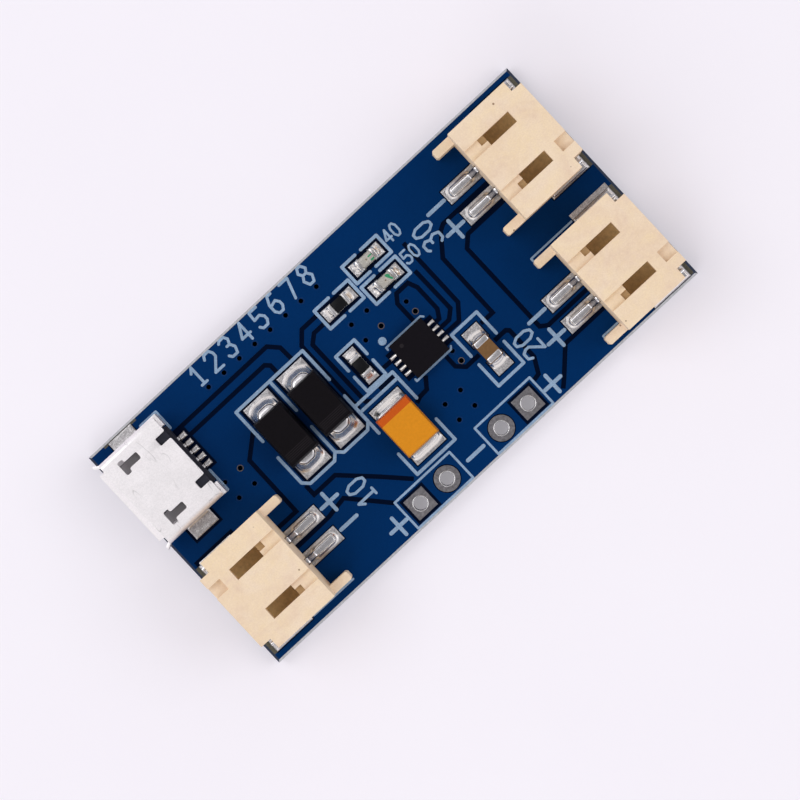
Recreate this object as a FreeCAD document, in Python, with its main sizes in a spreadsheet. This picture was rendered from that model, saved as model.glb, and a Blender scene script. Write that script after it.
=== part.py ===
"""Lithium battery charger module: a small populated circuit board, 40 x 19.6 x 1.6 mm.

The origin is at the centre of the board's underside. +X runs along the board towards the end
with two battery-lead sockets, +Y towards the long edge beside the power port, and +Z up
through the parts. All lengths are millimetres.
"""
import FreeCAD, Part
import os
from types import SimpleNamespace

import Sketcher
from FreeCAD import Placement, Rotation, Vector

SIZES = {
    # circuit board, snapped out of a scored panel; its length and width follow from what it carries
    "board_thickness": 1.6,
    "score_inset": 0.2,
    "score_depth": 0.45,
    "copper_relief": 0.04,
    "groove_width": 0.33,
    "mask_gap": 0.07,
    "clearing_gap": 0.2,
    # steps along the board: socket lands, diodes, tantalum capacitor, controller, ceramic capacitor, lands
    "diode_step": 2.01,
    "diode_pitch": 3.22,
    "tantalum_step": 3.33,
    "controller_step": 4.32,
    "ceramic_step": 3.44,
    "battery_side_step": 5.02,
    # steps across the board: edge, header row, capacitors, controller, diodes, lamps, edge
    "header_edge": 1.44,
    "tantalum_rise": 4.57,
    "ceramic_rise": 4.7,
    "controller_rise": 3.43,
    "diode_rise": 1.89,
    "lamp_rise": 4.15,
    "lamp_edge": 4.12,
    # places of the chip parts beside the controller
    "current_resistor_back": 3.83,
    "lamp_resistor_back": 2.03,
    "lamp_forward": 1.51,
    "lamp_pitch": 1.97,
    # plated vias: a row by the long edge, clusters of four and pairs
    "via_radius": 0.17,
    "via_plating": 0.05,
    "via_pitch": 1.47,
    "via_pair_pitch": 0.93,
    "via_row_lead": 1.77,
    "via_row_edge": 2.12,
    "port_via_reach": 6.64,
    "port_via_drop": 3.83,
    "lamp_via_reach": 0.39,
    "lamp_via_drop": 2.36,
    "controller_via_back": 0.64,
    "controller_via_drop": 4.84,
    "pair_via_reach": 1.54,
    "pair_via_rise": 2.53,
    "pair_via_drop": 2.18,
    # plated holes for pin headers
    "header_pitch": 2.54,
    "header_hole_radius": 0.5,
    "header_square": 1.72,
    "header_round": 1.88,
    "header_rise": 0.03,
    "header_middle": 3.86,
    # two-pin lead sockets, side entry, and what stands between them and the port
    "socket_width": 7.9,
    "socket_depth": 6.05,
    "socket_height": 5.5,
    "socket_setback": 0.38,
    "socket_gap": 2.43,
    "output_margin": 0.85,
    "battery_margin": 0.52,
    "solar_margin": 0.92,
    "port_clearance": 1.12,
    "lip_shoulder": 0.85,
    "lip_depth": 0.84,
    "ear_length": 1.55,
    "ear_thickness": 0.68,
    "ear_height": 2.6,
    "ear_chamfer": 0.12,
    "side_wall": 1.0,
    "rear_wall": 1.65,
    "cavity_floor": 0.8,
    "cavity_roof": 0.9,
    "window_inset": 0.66,
    "window_width": 0.94,
    "window_front": 1.97,
    "window_back": 1.71,
    "step_length": 0.52,
    "step_width": 0.52,
    "step_sink": 0.62,
    "channel_sink": 0.35,
    "notch_length": 1.08,
    "notch_sink": 0.5,
    "socket_fit": 0.03,
    # socket pins, bent from square wire
    "socket_pitch": 2.0,
    "pin_size": 0.5,
    "pin_setback": 0.9,
    "pin_taper": 0.14,
    "pin_drop": 0.45,
    "pin_exit": 1.3,
    "neck_length": 0.1,
    "neck_slope": 0.55,
    "foot_length": 1.75,
    "foot_thickness": 0.35,
    "lead_land_width": 1.22,
    "lead_land_toe": 0.5,
    "lead_land_heel": 0.5,
    "lead_solder_side": 0.3,
    "lead_solder_height": 0.27,
    "lead_solder_draft": 0.2,
    # socket mounting tabs
    "tab_thickness": 0.25,
    "tab_front": 0.3,
    "tab_length": 3.0,
    "tab_overhang": 0.12,
    "tab_blade_inset": 0.43,
    "tab_blade_height": 2.2,
    "tab_land_width": 1.45,
    "tab_land_overhang": 0.28,
    "tab_land_border": 0.2,
    "tab_solder_height": 0.2,
    # power port: formed sheet shell round a moulded insert
    "port_width": 7.35,
    "port_height": 2.45,
    "port_length": 5.45,
    "port_overhang": 0.05,
    "port_margin": 1.0,
    "port_wall": 0.25,
    "port_bevel": 0.925,
    "port_knee": 0.95,
    "port_corner_slide": 0.41,
    "port_rounding": 0.4,
    "port_lip_length": 0.4,
    "port_lip_rise": 0.22,
    "port_lip_inset": 0.625,
    "port_cheek_bottom": 1.0,
    "port_cheek_drop": 0.45,
    "hole_inset": 1.335,
    "hole_front": 1.46,
    "hole_bar": 1.1,
    "hole_bar_width": 0.45,
    "hole_stem": 1.1,
    "hole_stem_width": 0.57,
    "rear_notch_inset": 1.655,
    "rear_notch_width": 0.64,
    "rear_notch_length": 0.9,
    "flap_reach": 1.0,
    "flap_bottom": 0.3,
    "flap_drop": 0.3,
    "leg_front": 1.85,
    "leg_length": 1.9,
    "port_land_border": 0.1,
    "port_land_inside": 0.55,
    "port_land_edge_side": 0.76,
    "port_land_inner_side": 1.03,
    "port_solder_reach": 0.25,
    "port_solder_height": 0.35,
    # moulded insert and its five contacts
    "insert_fit": 0.03,
    "insert_length": 1.5,
    "insert_back": 0.2,
    "insert_back_inset": 1.125,
    "insert_back_drop": 0.85,
    "tongue_margin": 0.425,
    "tongue_length": 2.8,
    "tongue_drop": 1.1,
    "tongue_thickness": 0.6,
    "contact_pitch": 0.65,
    "contact_width": 0.25,
    "contact_thickness": 0.12,
    "contact_tail": 0.38,
    "contact_short": 0.15,
    "tail_land_width": 0.42,
    "tail_land_toe": 0.12,
    "tail_land_heel": 0.1,
    "tail_solder_height": 0.16,
    # two power diodes in moulded cases with wrapped leads
    "diode_length": 4.1,
    "diode_width": 2.58,
    "diode_top": 2.2,
    "diode_parting": 1.15,
    "diode_draft": 0.14,
    "diode_strap": 0.2,
    "diode_strap_width": 1.45,
    "diode_overhang": 0.45,
    "diode_foot": 1.3,
    "diode_land_toe": 0.8,
    "diode_land_length": 2.0,
    "diode_land_width": 2.34,
    "diode_solder_reach": 0.66,
    "diode_solder_height": 0.62,
    # tantalum capacitor
    "tantalum_length": 3.45,
    "tantalum_width": 2.86,
    "tantalum_top": 1.95,
    "tantalum_parting": 0.95,
    "tantalum_draft": 0.1,
    "tantalum_strap": 0.12,
    "tantalum_strap_width": 2.2,
    "tantalum_overhang": 0.12,
    "tantalum_foot": 0.85,
    "tantalum_land_toe": 0.675,
    "tantalum_land_length": 1.45,
    "tantalum_land_width": 2.74,
    "tantalum_solder_reach": 0.5,
    "tantalum_solder_height": 0.6,
    # ceramic capacitor
    "ceramic_length": 1.95,
    "ceramic_width": 1.26,
    "ceramic_height": 0.95,
    "ceramic_cap": 0.56,
    "cap_wall": 0.03,
    "ceramic_land_toe": 0.975,
    "ceramic_land_length": 1.3,
    "ceramic_land_width": 1.43,
    "ceramic_solder_reach": 0.6,
    "ceramic_solder_height": 0.55,
    # two thick-film resistors
    "resistor_length": 1.6,
    "resistor_width": 0.85,
    "resistor_height": 0.42,
    "resistor_cap": 0.3,
    "resistor_coat": 0.04,
    "resistor_land_toe": 0.59,
    "resistor_land_length": 0.95,
    "resistor_land_width": 0.99,
    "resistor_solder_reach": 0.48,
    "resistor_solder_height": 0.3,
    # two indicator lamps
    "lamp_length": 1.6,
    "lamp_width": 0.8,
    "lamp_base": 0.25,
    "lamp_lens_length": 1.1,
    "lamp_lens_height": 0.35,
    "lamp_lens_draft": 0.06,
    "lamp_terminal": 0.3,
    "lamp_film": 0.04,
    "lamp_chip": 0.26,
    "lamp_chip_height": 0.12,
    "lamp_land_toe": 0.54,
    "lamp_land_length": 0.9,
    "lamp_land_width": 1.0,
    "lamp_solder_reach": 0.42,
    "lamp_solder_height": 0.24,
    # charge controller in a leadless package
    "controller_side": 3.0,
    "controller_height": 0.85,
    "controller_pitch": 0.5,
    "controller_lead_width": 0.26,
    "controller_lead_length": 0.4,
    "controller_lead_height": 0.2,
    "controller_pad_length": 1.5,
    "controller_pad_width": 2.3,
    "controller_land_toe": 0.55,
    "controller_solder_reach": 0.5,
    "controller_solder_height": 0.2,
    # shares of its reach and rise at which a meniscus bends, and of a half-round one's plan at its tip
    "meniscus_reach_share": 0.35,
    "meniscus_rise_share": 0.38,
    "meniscus_tip_share": 0.1,
}

doc = FreeCAD.newDocument("BatteryChargerModule")
sheet = doc.addObject("Spreadsheet::Sheet", "Sizes")
for row, (alias, number) in enumerate(SIZES.items(), 1):
    sheet.set(f"A{row}", alias)
    sheet.set(f"B{row}", str(number))
    sheet.setAlias(f"B{row}", alias)
doc.recompute()


class Dim:
    """A length that carries both its number and the sheet expression that gives it."""

    def __init__(self, text, number):
        self.text = text
        self.number = float(number)

    def __float__(self):
        return self.number

    def __neg__(self):
        return Dim(f"(-{self.text})", -self.number)

    def __add__(self, other):
        return Dim(f"({self.text} + {dim(other).text})", self.number + float(other))

    def __sub__(self, other):
        return Dim(f"({self.text} - {dim(other).text})", self.number - float(other))

    def __mul__(self, other):
        return Dim(f"({self.text} * {dim(other).text})", self.number * float(other))

    def __truediv__(self, other):
        return Dim(f"({self.text} / {dim(other).text})", self.number / float(other))

    def __radd__(self, other):
        return dim(other) + self

    def __rsub__(self, other):
        return dim(other) - self

    def __rmul__(self, other):
        return dim(other) * self


def dim(value):
    """The value itself when it is a size, or a plain number dressed as one."""
    return value if isinstance(value, Dim) else Dim(f"({float(value)})", value)


def larger(one, other):
    return Dim(f"max({one.text}; {other.text})", max(float(one), float(other)))


size = SimpleNamespace(**{alias: Dim(f"Sizes.{alias}", sheet.get(alias)) for alias in SIZES})
pieces = []


# Helpers for bodies, sketches and features

def tie(thing, path, value):
    """Ties a property to the sheet."""
    thing.setExpression(path, dim(value).text)


def stand(thing, x=0, y=0, z=0, turn=0):
    """Puts an object at a place given by sizes, turned about the vertical."""
    thing.Placement = Placement(Vector(float(x), float(y), float(z)), Rotation(Vector(0, 0, 1), turn))
    for axis, value in zip("xyz", (x, y, z)):
        tie(thing, f"Placement.Base.{axis}", value)
    return thing


def piece(thing, label):
    """Names an object as one of the pieces of the module."""
    thing.Label = label
    pieces.append(thing)
    return thing


def new_body(label, spot):
    """A body named after its piece, standing on the board's top at a spot."""
    body = stand(doc.addObject("PartDesign::Body", label), spot.x, spot.y, size.board_thickness, spot.turn)
    return piece(body, label)


def rectangle(x0, x1, y0, y1):
    return [(x0, y0), (x1, y0), (x1, y1), (x0, y1)]


def flipped(loop):
    """The mirror image of a loop across the second sketch axis."""
    return [(-x, y) for x, y in reversed(loop)]


def outline(body, plane, loops, at=0):
    """A sketch of closed straight-sided loops on one of the body's planes, all corners tied to sizes."""
    sketch = body.newObject("Sketcher::SketchObject", f"{body.Name}_outline")
    base = next(item for item in body.Origin.OriginFeatures if item.Role == f"{plane}_Plane")
    sketch.AttachmentSupport = [(base, "")]
    sketch.MapMode = "FlatFace"
    tie(sketch, "AttachmentOffset.Base.z", at)
    lines = []
    rules = []
    ties = {}
    for loop in loops:
        first = len(lines)
        for turn, corner in enumerate(loop):
            following = loop[(turn + 1) % len(loop)]
            ends = [Vector(float(x), float(y), 0) for x, y in (corner, following)]
            lines.append(Part.LineSegment(*ends))
            after = first + (turn + 1) % len(loop)
            rules.append(Sketcher.Constraint("Coincident", first + turn, 2, after, 1))
            for kind, value, axis in (("DistanceX", corner[0], -2), ("DistanceY", corner[1], -1)):
                if float(value) == 0:
                    rules.append(Sketcher.Constraint("PointOnObject", first + turn, 1, axis))
                    continue
                if isinstance(value, Dim):
                    ties[len(rules)] = value
                rules.append(Sketcher.Constraint(kind, -1, 1, first + turn, 1, float(value)))
    sketch.addGeometry(lines)
    sketch.addConstraint(rules)
    for index, value in ties.items():
        tie(sketch, f"Constraints[{index}]", value)
    return sketch


def feature(body, kind, sketch, length, side="One side", backward=False):
    made = body.newObject(f"PartDesign::{kind}", f"{body.Name}_{kind.lower()}")
    made.Profile = sketch
    tie(made, "Length", length)
    made.SideType = side
    made.Reversed = backward
    return made


def pad(body, plane, loops, length, at=0, **how):
    return feature(body, "Pad", outline(body, plane, loops, at), length, **how)


def pocket(body, plane, loops, depth, at=0, **how):
    """Cuts loops into the body, and makes sure that something was cut."""
    doc.recompute()
    before = body.Shape.Volume
    made = feature(body, "Pocket", outline(body, plane, loops, at), depth, **how)
    doc.recompute()
    if body.Shape.Volume > before - 1e-6:
        raise RuntimeError(f"a pocket in {body.Label} cuts nothing")
    return made


def centred(half_length, half_width):
    return rectangle(-half_length, half_length, -half_width, half_width)


def loft(body, sections):
    """A solid with flat facets through loops that have the same number of corners, each at its height."""
    sketches = [outline(body, "XY", [loop], at) for loop, at in sections]
    made = body.newObject("PartDesign::AdditiveLoft", f"{body.Name}_loft")
    made.Profile = sketches[0]
    made.Sections = sketches[1:]
    made.Ruled = True
    return made


def row_of(body, original, count, pitch):
    """Repeats a feature along the body's own Y axis."""
    doc.recompute()
    made = body.newObject("PartDesign::LinearPattern", f"{body.Name}_row")
    axis = next(item for item in body.Origin.OriginFeatures if item.Role == "Y_Axis")
    made.Originals = [original]
    made.Direction = (axis, [""])
    made.Mode = "Spacing"
    made.Occurrences = count
    tie(made, "Offset", pitch)
    body.Tip = made
    return made


def dress_edges(body, kind, amount, chosen):
    """Gives a fillet or a chamfer to the edges that the test picks out."""
    doc.recompute()
    base = body.Tip
    names = [f"Edge{number}" for number, edge in enumerate(base.Shape.Edges, 1) if chosen(edge)]
    made = body.newObject(f"PartDesign::{kind}", f"{body.Name}_{kind.lower()}")
    made.Base = (base, names)
    tie(made, {"Fillet": "Radius", "Chamfer": "Size"}[kind], amount)
    return made


def runs_along(edge, axis):
    """Whether a straight edge runs along the axis numbered 0, 1 or 2."""
    ends = [vertex.Point for vertex in edge.Vertexes]
    if len(ends) != 2 or edge.Curve.TypeId != "Part::GeomLine":
        return False
    along = ends[1] - ends[0]
    return abs(abs(along[axis]) - along.Length) < 1e-7


def near(value, target):
    return abs(value - float(target)) < 1e-4


# Where each part stands: x, y and its turn about the vertical

def spot(x, y, turn=0):
    return SimpleNamespace(x=dim(x), y=dim(y), turn=turn)


half_socket = size.socket_width / 2
foot_tip = -size.socket_depth - size.neck_length - size.neck_slope - size.foot_length
lead_land_end = foot_tip - size.lead_land_toe
columns = (size.diode_step + size.diode_pitch + size.tantalum_step + size.controller_step
           + size.ceramic_step + size.battery_side_step)
half_board = size.socket_setback - lead_land_end + columns / 2
rows = (size.header_edge + size.tantalum_rise + size.controller_rise + size.diode_rise
        + size.lamp_rise + size.lamp_edge)
socket_stack = size.output_margin + size.battery_margin + 2 * size.socket_width + size.socket_gap
port_stack = (size.port_margin + size.port_width + size.port_land_inner_side + size.port_clearance
              + size.tab_land_overhang + size.socket_width + size.solar_margin)
half_span = larger(larger(rows, socket_stack), port_stack) / 2

diode_x = size.diode_step - columns / 2
tantalum_x = diode_x + size.diode_pitch + size.tantalum_step
controller_x = tantalum_x + size.controller_step
header_y = size.header_edge - half_span
controller_y = header_y + size.tantalum_rise + size.controller_rise
diode_y = controller_y + size.diode_rise
lamp_x = controller_x + size.lamp_forward
lamp_y = diode_y + size.lamp_rise
port_y = half_span - size.port_margin - size.port_width / 2
spots = {
    "output_socket": spot(half_board - size.socket_setback, half_span - size.output_margin - half_socket),
    "battery_socket": spot(half_board - size.socket_setback, size.battery_margin + half_socket - half_span),
    "solar_socket": spot(size.socket_setback - half_board, size.solar_margin + half_socket - half_span, 180),
    "power_port": spot(-half_board - size.port_overhang, port_y, 180),
    "solar_diode": spot(diode_x, diode_y, 90),
    "port_diode": spot(diode_x + size.diode_pitch, diode_y, 90),
    "tantalum_capacitor": spot(tantalum_x, header_y + size.tantalum_rise, 90),
    "ceramic_capacitor": spot(controller_x + size.ceramic_step, header_y + size.ceramic_rise, 90),
    "current_resistor": spot(controller_x - size.current_resistor_back, diode_y, 90),
    "lamp_resistor": spot(controller_x - size.lamp_resistor_back, lamp_y),
    "ready_lamp": spot(lamp_x, lamp_y + size.lamp_pitch / 2),
    "charging_lamp": spot(lamp_x, lamp_y - size.lamp_pitch / 2),
    "controller": spot(controller_x, controller_y),
}


# Copper lands of each kind of part, as rectangles in the part's own frame

def end_lands(end, toe, length, width):
    """A pair of lands under the two ends of a part, each reaching past its end by a toe."""
    reach = end + toe
    return [(reach - length, reach, -width / 2, width / 2), (-reach, length - reach, -width / 2, width / 2)]


tab_edge = half_socket + size.tab_land_overhang
tab_tail = size.tab_front + size.tab_length
half_lead_land = size.lead_land_width / 2
socket_lands = [
    (lead_land_end, size.lead_land_heel - size.socket_depth,
     side * size.socket_pitch / 2 - half_lead_land, side * size.socket_pitch / 2 + half_lead_land)
    for side in (-1, 1)
]
for low, high in ((tab_edge - size.tab_land_width, tab_edge), (-tab_edge, size.tab_land_width - tab_edge)):
    socket_lands.append((-tab_tail - size.tab_land_border, size.tab_land_border - size.tab_front, low, high))

half_port = size.port_width / 2
port_rear = -size.port_length
tail_tip = port_rear - size.insert_back - size.contact_thickness - size.contact_tail
half_tail_land = size.tail_land_width / 2
contact_rows = [count * size.contact_pitch for count in range(-2, 3)]
tail_lands = [
    (tail_tip - size.tail_land_toe, tail_tip + size.contact_tail + size.tail_land_heel,
     middle - half_tail_land, middle + half_tail_land)
    for middle in contact_rows
]
leg_tail = -size.leg_front - size.leg_length
port_lands = [
    (leg_tail - size.port_land_border, size.port_land_border - size.leg_front,
     -half_port - size.port_land_edge_side, size.port_land_inside - half_port),
    (leg_tail - size.port_land_border, size.port_land_border - size.leg_front,
     half_port - size.port_land_inside, half_port + size.port_land_inner_side),
]

half_package = size.controller_side / 2
lead_rows = [(count - 1.5) * size.controller_pitch for count in range(4)]
controller_lands = [
    (side * half_package - size.controller_lead_length * (side > 0) - size.controller_land_toe * (side < 0),
     side * half_package + size.controller_lead_length * (side < 0) + size.controller_land_toe * (side > 0),
     middle - size.controller_lead_width / 2, middle + size.controller_lead_width / 2)
    for side in (-1, 1) for middle in lead_rows
]
half_pad_length = size.controller_pad_length / 2
half_pad_width = size.controller_pad_width / 2
controller_lands.append((-half_pad_length, half_pad_length, -half_pad_width, half_pad_width))

diode_end = size.diode_length / 2 + size.diode_overhang
tantalum_end = size.tantalum_length / 2 + size.tantalum_overhang
diode_lands = end_lands(diode_end, size.diode_land_toe, size.diode_land_length, size.diode_land_width)
tantalum_lands = end_lands(
    tantalum_end, size.tantalum_land_toe, size.tantalum_land_length, size.tantalum_land_width)
ceramic_lands = end_lands(
    size.ceramic_length / 2, size.ceramic_land_toe, size.ceramic_land_length, size.ceramic_land_width)
resistor_lands = end_lands(
    size.resistor_length / 2, size.resistor_land_toe, size.resistor_land_length, size.resistor_land_width)
lamp_lands = end_lands(
    size.lamp_length / 2, size.lamp_land_toe, size.lamp_land_length, size.lamp_land_width)


# Circuit board: scored blank, etched grooves, mask openings and drilled holes

def box(x0, x1, y0, y1, z0, z1, at=None):
    """A block between two corners, in the frame of the spot it belongs to."""
    block = doc.addObject("Part::Box", "block")
    tie(block, "Length", dim(x1) - x0)
    tie(block, "Width", dim(y1) - y0)
    tie(block, "Height", dim(z1) - z0)
    at = at or spot(0, 0)
    across, along = {0: (x0, y0), 90: (-dim(y0), x0), 180: (-dim(x0), -dim(y0))}[at.turn]
    return stand(block, at.x + across, at.y + along, z0, at.turn)


def rod(x, y, radius, z0, z1):
    """A round bar standing between two heights."""
    bar = doc.addObject("Part::Cylinder", "rod")
    tie(bar, "Radius", radius)
    tie(bar, "Height", dim(z1) - z0)
    return stand(bar, x, y, z0)


def post(x, y, radius, z0, z1):
    """A six-sided bar standing between two heights, for the many small vias."""
    bar = doc.addObject("Part::Prism", "post")
    bar.Polygon = 6
    tie(bar, "Circumradius", radius)
    tie(bar, "Height", dim(z1) - z0)
    return stand(bar, x, y, z0)


def joined(parts, name="joined"):
    whole = doc.addObject("Part::MultiFuse", name)
    whole.Shapes = parts
    return whole


def cut(base, tool, name="cut"):
    left = doc.addObject("Part::Cut", name)
    left.Base = base
    left.Tool = tool
    return left


def relief(lands, at, gap):
    """Shallow openings in the mask round a part's lands."""
    low = size.board_thickness - size.copper_relief
    high = size.board_thickness + size.copper_relief
    return [box(x0 - gap, x1 + gap, y0 - gap, y1 + gap, low, high, at) for x0, x1, y0, y1 in lands]


def around(lands):
    """The one rectangle that holds a list of lands."""
    return [(
        min((land[0] for land in lands), key=float), max((land[1] for land in lands), key=float),
        min((land[2] for land in lands), key=float), max((land[3] for land in lands), key=float),
    )]


half_header = size.header_pitch / 2
outer_hole = size.header_middle + half_header
inner_hole = size.header_middle - half_header
header_pads = {
    "solar_header_pads": ((-outer_hole, True), (-inner_hole, False)),
    "battery_header_pads": ((outer_hole, True), (inner_hole, False)),
}


def header_pad(x, square, gap, low, high):
    """A square or round plate centred on a header hole."""
    if square:
        half = size.header_square / 2 + gap
        return box(x - half, x + half, header_y - half, header_y + half, low, high)
    return rod(x, header_y, size.header_round / 2 + gap, low, high)


def via_places():
    """Centres of the plated vias: the row, then the clusters and pairs beside the parts."""
    row_y = half_span - size.via_row_edge
    places = [(diode_x - size.via_row_lead + count * size.via_pitch, row_y) for count in range(8)]
    half = size.via_pitch / 2
    for name, dx, dy in (
        ("power_port", size.port_via_reach, -size.port_via_drop),
        ("lamp_resistor", size.lamp_via_reach, -size.lamp_via_drop),
        ("controller", -size.controller_via_back, -size.controller_via_drop),
    ):
        x = spots[name].x + dx
        y = spots[name].y + dy
        places += [(x + across, y + along) for across in (-half, half) for along in (-half, half)]
    pair_x = controller_x + size.pair_via_reach
    half_pair = size.via_pair_pitch / 2
    for middle in (controller_y + size.pair_via_rise, controller_y - size.pair_via_drop):
        places += [(pair_x, middle - half_pair), (pair_x, middle + half_pair)]
    return places


def groove_routes():
    """Etched gaps between copper areas, each a run of points measured from the parts it joins."""

    def from_part(name, *offsets):
        at = spots[name]
        return [Vector(float(at.x) + dx, float(at.y) + dy, 0) for dx, dy in offsets]

    return [
        from_part("power_port", (5.55, 1.85))
        + from_part("port_diode", (-0.1, 5.45), (0.55, 4.75), (0.6, 3.5)),
        from_part("power_port", (6.1, 1.0))
        + from_part("port_diode", (-1.1, 4.6), (-0.8, 4.3), (-0.8, 3.5)),
        from_part("solar_diode", (-1.5, 1.85), (-3.18, 0.45), (-3.22, -4.38))
        + from_part("solar_socket", (5.9, 2.1)),
        from_part("solar_diode", (-1.5, -3.5), (-1.5, -4.38), (0.5, -4.38))
        + from_part("tantalum_capacitor", (-3.9, -1.2), (-2.2, -3.0)),
        from_part("solar_socket", (5.9, 0.2), (9.15, 0.24), (10.8, 0.5), (11.65, -0.45), (13.15, -2.15)),
        from_part("lamp_resistor", (-1.6, 0.5), (-3.1, 0.5), (-3.9, -0.35), (-3.95, -6.3)),
        from_part("lamp_resistor", (-1.6, -0.27), (-2.65, -0.27), (-3.28, -0.8), (-3.28, -6.2),
                  (-2.9, -6.5)),
        from_part("controller", (0.98, 1.6), (0.98, 3.3), (1.42, 3.87), (2.5, 3.87), (2.78, 3.2),
                  (2.78, 1.15), (2.4, 0.55), (1.75, 0.53)),
        from_part("charging_lamp", (1.93, -0.9))
        + from_part("controller", (3.47, 0.55), (2.85, 0.02), (1.9, 0.02)),
        from_part("ready_lamp", (2.66, -0.9))
        + from_part("controller", (4.15, 0.5), (3.3, -0.52), (1.9, -0.5)),
        from_part("output_socket", (-5.9, -0.15), (-10.3, -0.15), (-10.75, -0.4), (-11.95, -1.9))
        + from_part("ceramic_capacitor", (1.98, 1.62), (0.85, 1.62)),
        from_part("output_socket", (-5.9, -1.85), (-9.5, -1.85), (-10.25, -2.55))
        + from_part("battery_socket", (-10.25, 0.35), (-9.75, 0.0), (-6.0, 0.0)),
        from_part("battery_socket", (-5.9, -1.75), (-9.75, -1.75), (-11.45, -3.45), (-12.0, -3.95)),
        from_part("ceramic_capacitor", (0.75, 0.1), (1.8, 0.1), (2.0, -0.1), (2.0, -2.6), (1.4, -3.7),
                  (0.9, -3.8)),
        from_part("controller", (0.96, -1.7), (0.96, -2.65), (1.5, -3.2))
        + from_part("ceramic_capacitor", (-0.7, 0.1)),
        from_part("controller", (-1.0, -1.7), (-1.6, -2.48), (-2.3, -2.52), (-2.75, -2.7)),
        from_part("current_resistor", (1.0, -1.2)) + from_part("controller", (-2.1, 0.67)),
        from_part("tantalum_capacitor", (0.3, 3.2), (1.65, 3.2)),
    ]


def strip_outline(points, width):
    """The closed outline of a strip of even width along a run of points, with mitred corners."""
    left = []
    right = []
    for here, point in enumerate(points):
        steps = [(b - a).normalize() for a, b in zip(points, points[1:])]
        before = steps[max(here - 1, 0)]
        after = steps[min(here, len(steps) - 1)]
        along = (before + after).normalize()
        reach = width / 2 / along.dot(after)
        across = Vector(-along.y, along.x, 0) * reach
        left.append(point + across)
        right.append(point - across)
    return left + right[::-1]


def make_grooves():
    """The grooves as one cutter that stands a little proud of the board."""
    low = Vector(0, 0, float(size.board_thickness - size.copper_relief))
    high = Vector(0, 0, 2 * float(size.copper_relief))
    strips = []
    for points in groove_routes():
        corners = [corner + low for corner in strip_outline(points, float(size.groove_width))]
        strips.append(Part.Face(Part.makePolygon(corners + corners[:1])).extrude(high))
    grooves = doc.addObject("Part::Feature", "grooves")
    grooves.Shape = strips[0].multiFuse(strips[1:])
    return grooves


def make_board():
    blank = doc.addObject("PartDesign::Body", "blank")
    narrow = centred(half_board - size.score_inset, half_span - size.score_inset)
    full = centred(half_board, half_span)
    loft(blank, [
        (narrow, 0),
        (full, size.score_depth),
        (full, size.board_thickness - size.score_depth),
        (narrow, size.board_thickness),
    ])
    tools = [make_grooves()]
    for name in ("output_socket", "battery_socket", "solar_socket"):
        tools += relief(socket_lands, spots[name], size.mask_gap)
    tools += relief(around(tail_lands), spots["power_port"], size.clearing_gap)
    edge_leg_land, inner_leg_land = port_lands
    tools += relief([edge_leg_land], spots["power_port"], size.mask_gap)
    tools += relief([inner_leg_land], spots["power_port"], size.clearing_gap)
    for name, lands in (
        ("solar_diode", diode_lands), ("port_diode", diode_lands), ("current_resistor", resistor_lands),
        ("lamp_resistor", resistor_lands), ("ready_lamp", lamp_lands), ("charging_lamp", lamp_lands),
    ):
        tools += relief(around(lands), spots[name], size.clearing_gap)
    tools += relief(tantalum_lands, spots["tantalum_capacitor"], size.mask_gap)
    tools += relief(ceramic_lands, spots["ceramic_capacitor"], size.mask_gap)
    tools += relief(around(controller_lands), spots["controller"], size.mask_gap)
    top = size.board_thickness
    over = size.copper_relief
    for pads in header_pads.values():
        for x, square in pads:
            gap = size.clearing_gap if square else size.mask_gap
            tools.append(header_pad(x, square, gap, top - over, top + over))
            tools.append(header_pad(x, square, gap, -over, over))
            tools.append(rod(x, header_y, size.header_hole_radius, -over, top + over))
    tools += [post(x, y, size.via_radius + size.via_plating, -over, top + over) for x, y in via_places()]
    board = cut(blank, joined(tools, "board_cutters"), "circuit_board")
    board.Refine = True
    piece(board, "circuit_board")


def make_header_pads():
    """The copper plates round the header holes, on both faces, bored through."""
    top = size.board_thickness
    over = size.copper_relief
    for label, pads in header_pads.items():
        metal = []
        bores = []
        for x, square in pads:
            metal.append(header_pad(x, square, 0, top - size.copper_relief, top + size.header_rise))
            metal.append(header_pad(x, square, 0, dim(0), size.copper_relief))
            bores.append(rod(x, header_y, size.header_hole_radius, -over, top + over))
        piece(cut(joined(metal), joined(bores), label), label)


def make_vias():
    """Copper barrels that line the small holes between the two faces."""
    top = size.board_thickness
    barrels = [post(x, y, size.via_radius + size.via_plating, dim(0), top) for x, y in via_places()]
    over = size.copper_relief
    bores = [post(x, y, size.via_radius, -over, top + over) for x, y in via_places()]
    piece(cut(joined(barrels), joined(bores), "via_barrels"), "via_barrels")


# Solder: lands, and menisci that climb the ends of the leads

def land_plates(body, lands):
    pad(body, "XY", [rectangle(*land) for land in lands], size.copper_relief, at=-size.copper_relief)


def climbing(start, reach, height):
    """The hollow curve of a meniscus from a lead's end down to its land, in two straight runs."""
    return [(start, 0), (start + reach, 0), (start + reach * size.meniscus_reach_share,
            height * size.meniscus_rise_share), (start, height)]


def end_solder(label, at, lands, start, reach, height, width):
    """Lands and menisci at the two ends of a part."""
    body = new_body(label, at)
    land_plates(body, lands)
    rise = climbing(start, reach, height)
    pad(body, "XZ", [rise, flipped(rise)], width, side="Symmetric")


# Lead sockets: housing, two pins, two mounting tabs and their solder

def pin_slot(side, bottom):
    """An opening in the housing's rear wall for one pin, across and up."""
    middle = side * size.socket_pitch / 2
    half = size.pin_size / 2 + size.socket_fit
    return rectangle(middle - half, middle + half, bottom, pin_middle + half)


def both_sides(x0, x1, inner, outer):
    """A rectangle and its mirror image across the socket's centre line."""
    return [rectangle(x0, x1, inner, outer), rectangle(x0, x1, -outer, -inner)]


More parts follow.
